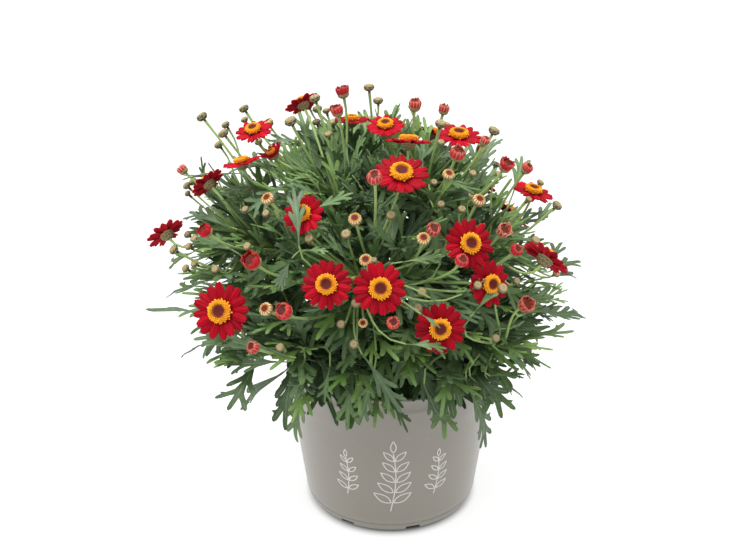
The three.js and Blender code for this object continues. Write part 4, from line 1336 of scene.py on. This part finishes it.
class Finish:
    """A material made of nodes, round one Principled shader."""

    def __init__(self, name, **sockets):
        self.material = bpy.data.materials.new(name)
        self.material.use_nodes = True
        self.tree = self.material.node_tree
        self.shader = self.tree.nodes["Principled BSDF"]
        self.wear(**sockets)

    def feed(self, node, inputs):
        pairs = inputs.items() if isinstance(inputs, dict) else enumerate(inputs)
        for name, value in pairs:
            if isinstance(value, Value):
                self.tree.links.new(value.socket, node.inputs[name])
            else:
                node.inputs[name].default_value = value

    def node(self, kind, settings=None, inputs=(), output=0):
        node = self.tree.nodes.new(kind)
        for name, value in (settings or {}).items():
            setattr(node, name, value)
        self.feed(node, inputs)
        return Value(self, node.outputs[output])

    def drawn(self, name):
        """A value that the mesh holds at its points."""
        return self.node("ShaderNodeAttribute", {"attribute_name": name}, output="Fac")

    def place(self, stretch=(1, 1, 1)):
        where = self.node("ShaderNodeTexCoord", output="Object")
        if stretch == (1, 1, 1):
            return where
        return self.node("ShaderNodeVectorMath", {"operation": "MULTIPLY"}, [where, stretch])

    def noise(self, size, detail, stretch=(1, 1, 1)):
        """Noise with features of this size in metres."""
        inputs = {"Vector": self.place(stretch), "Scale": 1 / size, "Detail": detail, "Roughness": 0.55}
        return self.node("ShaderNodeTexNoise", inputs=inputs, output="Fac")

    def mix(self, share, a, b):
        """Colour a where share is 0 and b where it is 1."""
        inputs = {0: share, 6: self.colour(a), 7: self.colour(b)}
        return self.node("ShaderNodeMix", {"data_type": "RGBA"}, inputs, output=2)

    def colour(self, value):
        return value if isinstance(value, Value) else (*value, 1.0)

    def bump(self, height, strength, distance):
        inputs = {"Strength": strength, "Distance": distance, "Height": height}
        return self.node("ShaderNodeBump", inputs=inputs)

    def wear(self, **sockets):
        """Gives the shader these values, plain ones or ones that vary, and hands back the material."""
        self.feed(self.shader, {name.replace("_", " "): value for name, value in sockets.items()})
        return self.material


def leaf_green():
    made = Finish("leaf_green", Specular_IOR_Level=0.45)
    cloud = made.noise(0.02, 3.0)
    grain = made.noise(0.0016, 2.0)
    # The tint holds each leaf's own tone, and for leaves deep in the bush painted shade; the near-black end of
    # the older leaves' green is that painted shade.
    light = made.drawn("tint") * 0.7 + cloud.between(0.3, 0.7) * 0.3
    old_and_shaded = made.mix(light, (0.006, 0.020, 0.005), (0.120, 0.198, 0.098))
    fresh = made.mix(light, (0.10, 0.22, 0.035), (0.26, 0.40, 0.09))
    blade = made.mix(made.drawn("young") * 1.3 - 0.15, old_and_shaded, fresh)
    veined = made.mix(made.drawn("vein").between(0.72, 1.0) * 0.35, blade, (0.22, 0.32, 0.18))
    below = made.mix(0.35, veined, (0.18, 0.25, 0.17))
    colour = made.mix(made.drawn("under"), veined, below)
    colour = made.mix(grain.between(0.45, 0.75) * 0.18, colour, (0.02, 0.05, 0.025))
    relief = made.bump(grain + cloud, 0.25, 0.0006)
    return made.wear(Base_Color=colour, Roughness=0.46 + 0.22 * grain, Normal=relief)


def stalk_green():
    made = Finish("stalk_green", Specular_IOR_Level=0.3)
    streak = made.noise(0.0009, 2.0, stretch=(1, 1, 0.25))
    row, scales = made.drawn("scale_row"), made.drawn("scales")
    pale = made.mix(made.drawn("tint"), (0.13, 0.23, 0.065), (0.34, 0.46, 0.15))
    smooth_skin = made.mix(streak * 0.35, pale, (0.30, 0.38, 0.17))
    level = row.maths("FLOOR")
    turn = made.drawn("turn_y").maths("ARCTAN2", made.drawn("turn_x")) * scales * (0.5 / math.pi)
    across = ((turn + level * 0.5).maths("FRACT") * 2 - 1).maths("ABSOLUTE")
    height = row - level + across * across * 0.45
    body = made.mix(made.drawn("tan"), (0.034, 0.050, 0.016), (0.44, 0.32, 0.16))
    body = made.mix(streak * 0.3, body, (0.10, 0.12, 0.045))
    edge = made.mix(height.between(0.60, 0.86), body, (0.42, 0.33, 0.17))
    brown = made.mix(height.between(0.86, 0.98), edge, (0.060, 0.036, 0.018))
    scaly = made.mix(height.between(1.0, 1.04), brown, body)
    bark = made.mix(streak, (0.10, 0.065, 0.035), (0.22, 0.16, 0.09))
    colour = made.mix(row.between(-0.5, 0.0), smooth_skin, scaly)
    colour = made.mix(made.drawn("wood"), colour, bark)
    relief = made.bump(streak, 0.35, 0.0003)
    return made.wear(Base_Color=colour, Roughness=0.5 + 0.25 * streak, Normal=relief)


def petal_scarlet():
    made = Finish("petal_scarlet", Specular_IOR_Level=0.08)
    reach, lane, pale = made.drawn("reach"), made.drawn("lane"), made.drawn("pale")
    stripe = (lane * 21.0).maths("SINE") * 0.5 + 0.5
    cloud = made.noise(0.004, 2.0)
    red = made.mix(made.drawn("tint"), (0.18, 0.0005, 0.006), (0.53, 0.002, 0.016))
    deep = made.mix(stripe * 0.25 + cloud.between(0.5, 0.8) * 0.25, red, (0.12, 0.0005, 0.004))
    foot = made.mix(1 - reach.between(0.05, 0.4), deep, (0.13, 0.0005, 0.004))
    straw = made.mix(stripe, (0.60, 0.42, 0.17), (0.90, 0.74, 0.42))
    straw = made.mix((lane * lane).between(0.5, 1.0) * 0.7, straw, (0.16, 0.085, 0.03))
    edge = (lane * lane).between(0.1, 0.9) * 0.7 + 0.3
    blush = made.mix(edge, (0.52, 0.05, 0.06), (0.78, 0.47, 0.30))
    rim = reach.between(0.72, 1.0) * pale.between(0.01, 0.10) * 0.35
    half_pale = made.mix(pale * edge * 1.1 + rim, foot, blush)
    colour = made.mix(pale.between(0.85, 0.99), half_pale, straw)
    colour = made.mix(made.drawn("under") * (0.45 - 0.45 * pale), colour, (0.66, 0.03, 0.05))
    return made.wear(Base_Color=colour, Roughness=0.5 + 0.15 * cloud, Normal=made.bump(stripe, 0.2, 0.0003))


def floret_gold():
    made = Finish("floret_gold", Specular_IOR_Level=0.3)
    share, tip = made.drawn("share"), made.drawn("tip")
    grain = made.noise(0.0008, 2.0)
    # Darker towards the florets' feet and on the dome between them: painted shade among the florets.
    gold = made.mix(tip, (0.64, 0.18, 0.004), (0.98, 0.54, 0.015))
    dark = made.mix(tip, (0.095, 0.007, 0.005), (0.25, 0.020, 0.010))
    colour = made.mix((share + 0.06 * grain).between(0.38, 0.68), dark, gold)
    return made.wear(Base_Color=colour, Roughness=0.6 + 0.2 * grain, Normal=made.bump(grain, 0.4, 0.0003))


def pot_plastic():
    made = Finish("pot_plastic", Specular_IOR_Level=0.75, Coat_Roughness=0.22)
    cloud = made.noise(0.06, 3.0, stretch=(1, 1, 0.4))
    grain = made.noise(0.0011, 3.0)
    scuff = made.noise(0.012, 6.0, stretch=(1, 1, 3.5)).between(0.62, 0.78)
    colour = made.mix(cloud, (0.184, 0.167, 0.136), (0.218, 0.199, 0.163))
    colour = made.mix(scuff * 0.3, colour, (0.36, 0.33, 0.28))
    colour = made.mix(grain.between(0.55, 0.8) * 0.12, colour, (0.18, 0.16, 0.13))
    dull = 0.32 + 0.14 * cloud + 0.1 * scuff
    relief = made.bump(grain, 0.12, 0.0004)
    return made.wear(Base_Color=colour, Roughness=dull, Coat_Weight=0.4 + 0.2 * cloud, Normal=relief)


def print_ink():
    made = Finish("pale_print", Specular_IOR_Level=0.4)
    worn = made.noise(0.0014, 4.0)
    colour = made.mix(worn.between(0.55, 0.85) * 0.5, (0.62, 0.60, 0.56), (0.40, 0.37, 0.32))
    return made.wear(Base_Color=colour, Roughness=0.45 + 0.1 * worn, Normal=made.bump(worn, 0.1, 0.0002))


def damp_soil():
    made = Finish("damp_soil", Specular_IOR_Level=0.4)
    lump = made.noise(0.005, 5.0)
    grain = made.noise(0.0012, 4.0)
    colour = made.mix(lump.between(0.35, 0.7), (0.008, 0.006, 0.004), (0.035, 0.022, 0.014))
    bark = made.mix(grain, (0.05, 0.028, 0.015), (0.12, 0.075, 0.04))
    colour = made.mix(made.drawn("bark") * 0.8, colour, bark)
    relief = made.bump(lump + grain, 0.8, 0.0015)
    return made.wear(Base_Color=colour, Roughness=0.5 + 0.35 * grain, Normal=relief)


# The pot and its soil

def wall_radius(height):
    """The radius of the pot's outside at a height."""
    heights = [POT_CORNER_HEIGHT, POT_BAND_FOOT, POT_HEIGHT]
    return float(np.interp(height, heights, [POT_CORNER_RADIUS, POT_BAND_RADIUS, POT_RIM_RADIUS]))


def pot_profile():
    """(height, radius) points from the middle of the foot, up the outside, over the rim and down inside."""
    foot_turn = [(height, POT_FOOT_RADIUS + out) for height, out in CORNER_TURN]
    below_line, above_line = POT_CORNER_RADIUS - 0.0007, POT_CORNER_RADIUS - 0.0001
    line = [
        (FOOT_LINE_HEIGHT - FOOT_LINE_HALF, below_line), (FOOT_LINE_HEIGHT, below_line - LINE_DEPTH),
        (FOOT_LINE_HEIGHT + FOOT_LINE_HALF, above_line),
    ]
    wall = [(z, wall_radius(z)) for z in np.linspace(POT_CORNER_HEIGHT + 0.003, POT_BAND_FOOT, 9)]
    beside_ring = wall_radius(RING_LINE_HEIGHT) + 0.0002
    band = [
        (POT_BAND_FOOT + 0.001, wall_radius(POT_BAND_FOOT) + 0.0004),
        (RING_LINE_HEIGHT - RING_LINE_HALF, beside_ring),
        (RING_LINE_HEIGHT, beside_ring + LINE_DEPTH + 0.0001),
        (RING_LINE_HEIGHT + RING_LINE_HALF, beside_ring),
    ]
    lip = [(POT_HEIGHT - below, POT_RIM_RADIUS + out) for below, out in LIP_TURN]
    inside = [
        (POT_BAND_FOOT, POT_BAND_RADIUS - POT_WALL), (POT_CORNER_HEIGHT, POT_CORNER_RADIUS - POT_WALL),
        (POT_FLOOR, POT_CORNER_RADIUS - 0.006), (POT_FLOOR, 0.01),
    ]
    return [(0.0, 0.01), (0.0, 0.05)] + foot_turn + line + wall + band + lip + inside


def pot(finish):
    """The pot in one piece, lathed, with the drain slots cut out."""
    gathered = Gathering()
    points, faces = lathe(pot_profile(), POT_FACETS)
    gathered.add(points, faces)
    cut_drains(gathered.piece("nursery_pot", finish, "pot_plastic", ["pot"]), drain_cutter())


def drain_cutter():
    """Boxes where the drain slots are."""
    mesh = bpy.data.meshes.new("drain_cutter")
    cutters = bmesh.new()
    for k in range(DRAIN_COUNT):
        turn = Matrix.Rotation(math.radians(DRAIN_TURN + 360 * k / DRAIN_COUNT), 4, "Z")
        middle = Matrix.Translation((0.5 * (DRAIN_OUTER + DRAIN_INNER), 0, 0))
        size = Matrix.Diagonal((DRAIN_OUTER - DRAIN_INNER, DRAIN_WIDTH, 2 * DRAIN_HEIGHT, 1))
        bmesh.ops.create_cube(cutters, size=1.0, matrix=turn @ middle @ size)
    cutters.to_mesh(mesh)
    cutters.free()
    return in_scene("drain_cutter", mesh)


def cut_drains(made, cutter):
    """Cuts the drain slots out of the pot's bottom corner."""
    cut = made.modifiers.new("drains", "BOOLEAN")
    cut.object = cutter
    cut.solver = "EXACT"
    bpy.context.view_layer.update()
    drained = bpy.data.meshes.new_from_object(made.evaluated_get(bpy.context.evaluated_depsgraph_get()))
    made.modifiers.clear()
    made.data = drained
    bpy.data.objects.remove(cutter)
    drained.set_sharp_from_angle(angle=SHARP_EDGE)


def soil(finish):
    """A heap of dark compost just under the rim, with bark crumbs on it."""
    draw = seeded_draws(CRUMB_SEED)
    gathered = Gathering()
    rows = [(POT_FLOOR + SOIL_GAP, 0.02), (POT_FLOOR + SOIL_GAP, POT_CORNER_RADIUS - 0.0068)]
    for height in (POT_CORNER_HEIGHT, 0.05, POT_BAND_FOOT, SOIL_TOP - 0.002):
        rows.append((height, wall_radius(height) - POT_WALL - SOIL_GAP))
    points, faces = lathe(rows + [(SOIL_TOP - 0.001, r) for r in np.linspace(SOIL_EDGE, 0.004, 40)], 120)
    top = points[:, 2] > SOIL_TOP - 0.0015
    x, y = points[top, 0] * 1000, points[top, 1] * 1000
    rough = np.sin(x * 0.31 + 1.3 * np.sin(y * 0.23)) + np.sin(y * 0.37 + 1.7 * np.sin(x * 0.19 + 2))
    fine = np.sin(x * 1.3 + 2 * np.sin(y * 0.9)) * np.sin(y * 1.1 + 2 * np.sin(x * 0.7))
    points[top, 2] += SOIL_LUMPS * rough + SOIL_GRAINS * fine
    gathered.add(points, faces, bark=0)
    for _ in range(CRUMBS):
        bearing, reach = 360 * draw(), CRUMB_REACH * math.sqrt(draw())
        size = CRUMB_SMALLEST + CRUMB_GROWTH * draw() ** 2
        spread = np.array([1.6, 1.0, 0.55]) * size
        corners = np.array([[1, 0, 0], [0, 1, 0], [-1, 0, 0], [0, -1, 0]]) * (0.7 + 0.5 * draw())
        turn = spin(math.tau * draw())
        rings = np.array([corners * 0.7 + [0, 0, -0.6], corners, corners * 0.6 + [0.1, 0, 0.8]]) * spread
        chip, chip_faces = skin(rings)
        centre = from_bearing(bearing, reach, SOIL_TOP + 0.0006)
        gathered.add(chip @ turn.T + centre, chip_faces, bark=draw() ** 2)
    gathered.piece("potting_soil", finish, "soil", ["soil"])


# The print on the pot: pale outlines of leafy sprigs

def on_wall(turn, height, off):
    """A place this far off the pot's wall."""
    radius = wall_radius(height) + off
    return np.array([radius * math.cos(turn), radius * math.sin(turn), height])


def ribbon(path, width, thickness):
    """A thin printed line over (bearing angle, height) points on the pot's wall."""
    outer = np.array([on_wall(turn, height, thickness) for turn, height in path])
    inner = np.array([on_wall(turn, height, -thickness) for turn, height in path])
    along = np.gradient(outer, axis=0)
    along /= np.linalg.norm(along, axis=1, keepdims=True)
    out = outer * [1, 1, 0]
    out /= np.linalg.norm(out, axis=1, keepdims=True)
    side = np.cross(out, along) * width / 2
    return skin(np.stack([outer + side, outer - side, inner - side, inner + side], axis=1))


def leaf_outline():
    """A unit leaf's outline along its rib: up one side and down the other."""
    side = [(along, 0.19 * math.sin(math.pi * along ** 0.85)) for along in np.linspace(0, 1, 15)]
    return side + [(along, -off) for along, off in side[-2::-1]]


def sprig(gathered, bearing, size):
    """A curved twig with outlined leaves in pairs, growing smaller to the top."""

    def twig_at(share):
        return 0.07 * size.tall * math.sin(2.6 * share), size.foot + size.tall * share

    def line_through(spots):
        path = [(math.radians(bearing) + x / wall_radius(height), height) for x, height in spots]
        gathered.add(*ribbon(path, PRINT_LINE, PRINT_PROUD))

    line_through([twig_at(share) for share in np.linspace(0, 1, 30)])
    spots = [(lerp(0.14, 0.86, k / (size.pairs - 1)), side) for k in range(size.pairs) for side in (-1, 1)]
    for share, side in spots + [(1.0, 0)]:
        length = size.tall * lerp(0.30, 0.19, share)
        lean = side * math.radians(lerp(58, 40, share))
        x0, z0 = twig_at(share)
        path = []
        for along, off in leaf_outline():
            a, b = (0.08 + along) * length, off * length
            x = x0 + a * math.sin(lean) + b * math.cos(lean)
            z = z0 + a * math.cos(lean) - b * math.sin(lean)
            path.append((x, z))
        line_through(path)


def print_sprigs(finish):
    gathered = Gathering()
    for middle in PRINT_BEARINGS:
        sprig(gathered, middle, TALL_SPRIG)
        for side in (-1, 1):
            sprig(gathered, middle + SMALL_SPRIG_TURN * side, SMALL_SPRIG)
    gathered.piece("printed_sprigs", finish, "pot_plastic")


# The studio

def floor_paper():
    """Pale paper that glows a little, but not under and just round the pot's foot, where the missing glow is a
    painted contact shadow.
    """
    grey = (FLOOR_GREY, FLOOR_GREY, FLOOR_GREY, 1.0)
    made = Finish("pale_floor", Roughness=0.9, Base_Color=grey, Emission_Strength=FLOOR_GLOW)
    away = made.node("ShaderNodeVectorMath", {"operation": "LENGTH"}, [made.place()], output="Value")
    # No glow near the pot's foot: a painted contact shadow there.
    glow = made.mix(away.between(FLOOR_GLOW_FROM, FLOOR_GLOW_FULL), (0.0, 0.0, 0.0), (1.0, 1.0, 1.0))
    return made.wear(Emission_Color=glow)


def studio(finish):
    """White light from all round, area lamps, and the floor in its own finish."""
    world = bpy.data.worlds.new("studio")
    bpy.context.scene.world = world
    world.use_nodes = True
    sky = world.node_tree.nodes["Background"].inputs
    sky["Color"].default_value = (1.0, 1.0, 1.0, 1.0)
    sky["Strength"].default_value = SKY_STRENGTH
    for name, at, size, power in LAMPS:
        lamp = bpy.data.lights.new(name, "AREA")
        lamp.energy = power
        lamp.size = size
        made = in_scene(name, lamp)
        made.location = at
        made.rotation_euler = (Vector(at) - Vector(LAMP_AIM)).to_track_quat("Z", "Y").to_euler()
    mesh = bpy.data.meshes.new("floor")
    corners = [(x * FLOOR_REACH, y * FLOOR_REACH, 0) for x, y in ((-1, -1), (1, -1), (1, 1), (-1, 1))]
    mesh.from_pydata(corners, [], [(0, 1, 2, 3)])
    mesh.materials.append(finish)
    floor = in_scene("floor", mesh)
    bpy.context.scene.view_settings.view_transform = "Standard"


def camera():
    """The camera of the photograph, looking down at the bush."""
    lens = bpy.data.cameras.new("camera")
    lens.sensor_width = SENSOR_WIDTH
    lens.lens = FOCAL_LENGTH * SENSOR_WIDTH / PICTURE_WIDTH
    lens.shift_x = 0.5 - AXIS_COLUMN / PICTURE_WIDTH
    made = in_scene("camera", lens)
    made.location = CAMERA_PLACE
    made.rotation_euler = (math.radians(90 - CAMERA_TILT), 0, 0)
    bpy.context.scene.camera = made


# The plant

def grow_leaves(stems, room, own_leaves, own_sprays, growth_of, draw):
    """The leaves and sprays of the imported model, finer, and the twigs and leaves between them."""
    for slot in own_leaves:
        pattern = any_leaf(slot.pairs, draw)
        placing = leaf_frame(slot.fine_root, slot.out)
        young = 0.1 + 0.3 * draw()
        add_leaf(growth_of[slot.stem.number].leaves, pattern, placing, slot.length, slot.droop, draw, young)
    for spray in own_sprays:
        growth = growth_of[spray.stem.number]
        twig = spray_twig(spray, growth.leaves, draw)
        twig_stalk(twig, growth.stalks, draw)
        leafy_twig(twig, growth.leaves, room, draw, size=SPRAY_TWIG_LEAVES)
    for twig in lay_twigs(stems, room):
        growth = growth_of[twig.stem.number]
        twig_stalk(twig, growth.stalks, draw)
        leafy_twig(twig, growth.leaves, room, draw)
    for stem in stems:
        inner = SimpleNamespace(curve=stem.curve, rise=0.8, draw=draw())
        leafy_twig(inner, growth_of[stem.number].leaves, room, draw, first=FIRST_INNER_LEAF)
    seen_leaves(stems, growth_of, draw)


def open_bloom(head, growth, finishes, draw):
    """A bloom's two pieces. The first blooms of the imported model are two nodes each, the others one."""
    rays, disc = Gathering(), Gathering()
    bloom(head, rays, disc, growth.stalks, draw)
    name = f"bloom_{head.number:02d}"
    apart = head.number <= TWO_COLOUR_BLOOMS
    rays.piece(f"{name}_petals", finishes.petal, "petals", [f"{name}_rays" if apart else name])
    disc.piece(f"{name}_florets", finishes.floret, "florets", [f"{name}_disc"] if apart else [])


def finish_stem(stem, heads, growth, finishes, draw):
    """A stem's own stalk and heads, and the pieces that hold all its growth."""
    main_stem(stem, growth.stalks)
    for head in heads:
        peduncle(head, growth.stalks, draw)
        if head.kind == "bloom":
            open_bloom(head, growth, finishes, draw)
        else:
            BUD_MAKERS[head.kind](head, growth, draw)
    tag = f"{stem.number:02d}"
    growth.leaves.piece(f"leaves_{tag}", finishes.leaf, "foliage", [stem.node])
    growth.stalks.piece(f"stalks_{tag}", finishes.stalk, "foliage", [stem.node])
    if growth.petals.count:
        growth.petals.piece(f"bud_petals_{tag}", finishes.petal, "petals")
        growth.florets.piece(f"bud_florets_{tag}", finishes.floret, "florets")


def grow(finishes):
    """Makes the whole plant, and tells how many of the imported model's leaves and sprays were found."""
    stems = lay_stems()
    heads = lay_heads(stems)
    solids = {stem.number: solid_of(stem.node) for stem in stems}
    own_leaves = kept(lay_model_leaves(lay_shoots(stems, heads)), solids)
    own_sprays = kept(lay_sprays(stems), solids)
    kinds = ("leaves", "stalks", "petals", "florets")
    growth_of = {stem.number: SimpleNamespace(**{kind: Gathering() for kind in kinds}) for stem in stems}
    draw = seeded_draws(GROWTH_SEED)
    grow_leaves(stems, Room(rooms_of(heads)), own_leaves, own_sprays, growth_of, draw)
    side_buds(stems, growth_of, draw)
    for stem in stems:
        own_heads = [head for head in heads if head.stem is stem]
        finish_stem(stem, own_heads, growth_of[stem.number], finishes, draw)
    return len(own_leaves), len(own_sprays)


camera()
studio(floor_paper())
pot(pot_plastic())
print_sprigs(print_ink())
soil(damp_soil())
finishes = SimpleNamespace(
    leaf=leaf_green(), stalk=stalk_green(), petal=petal_scarlet(), floret=floret_gold())
counts = grow(finishes)
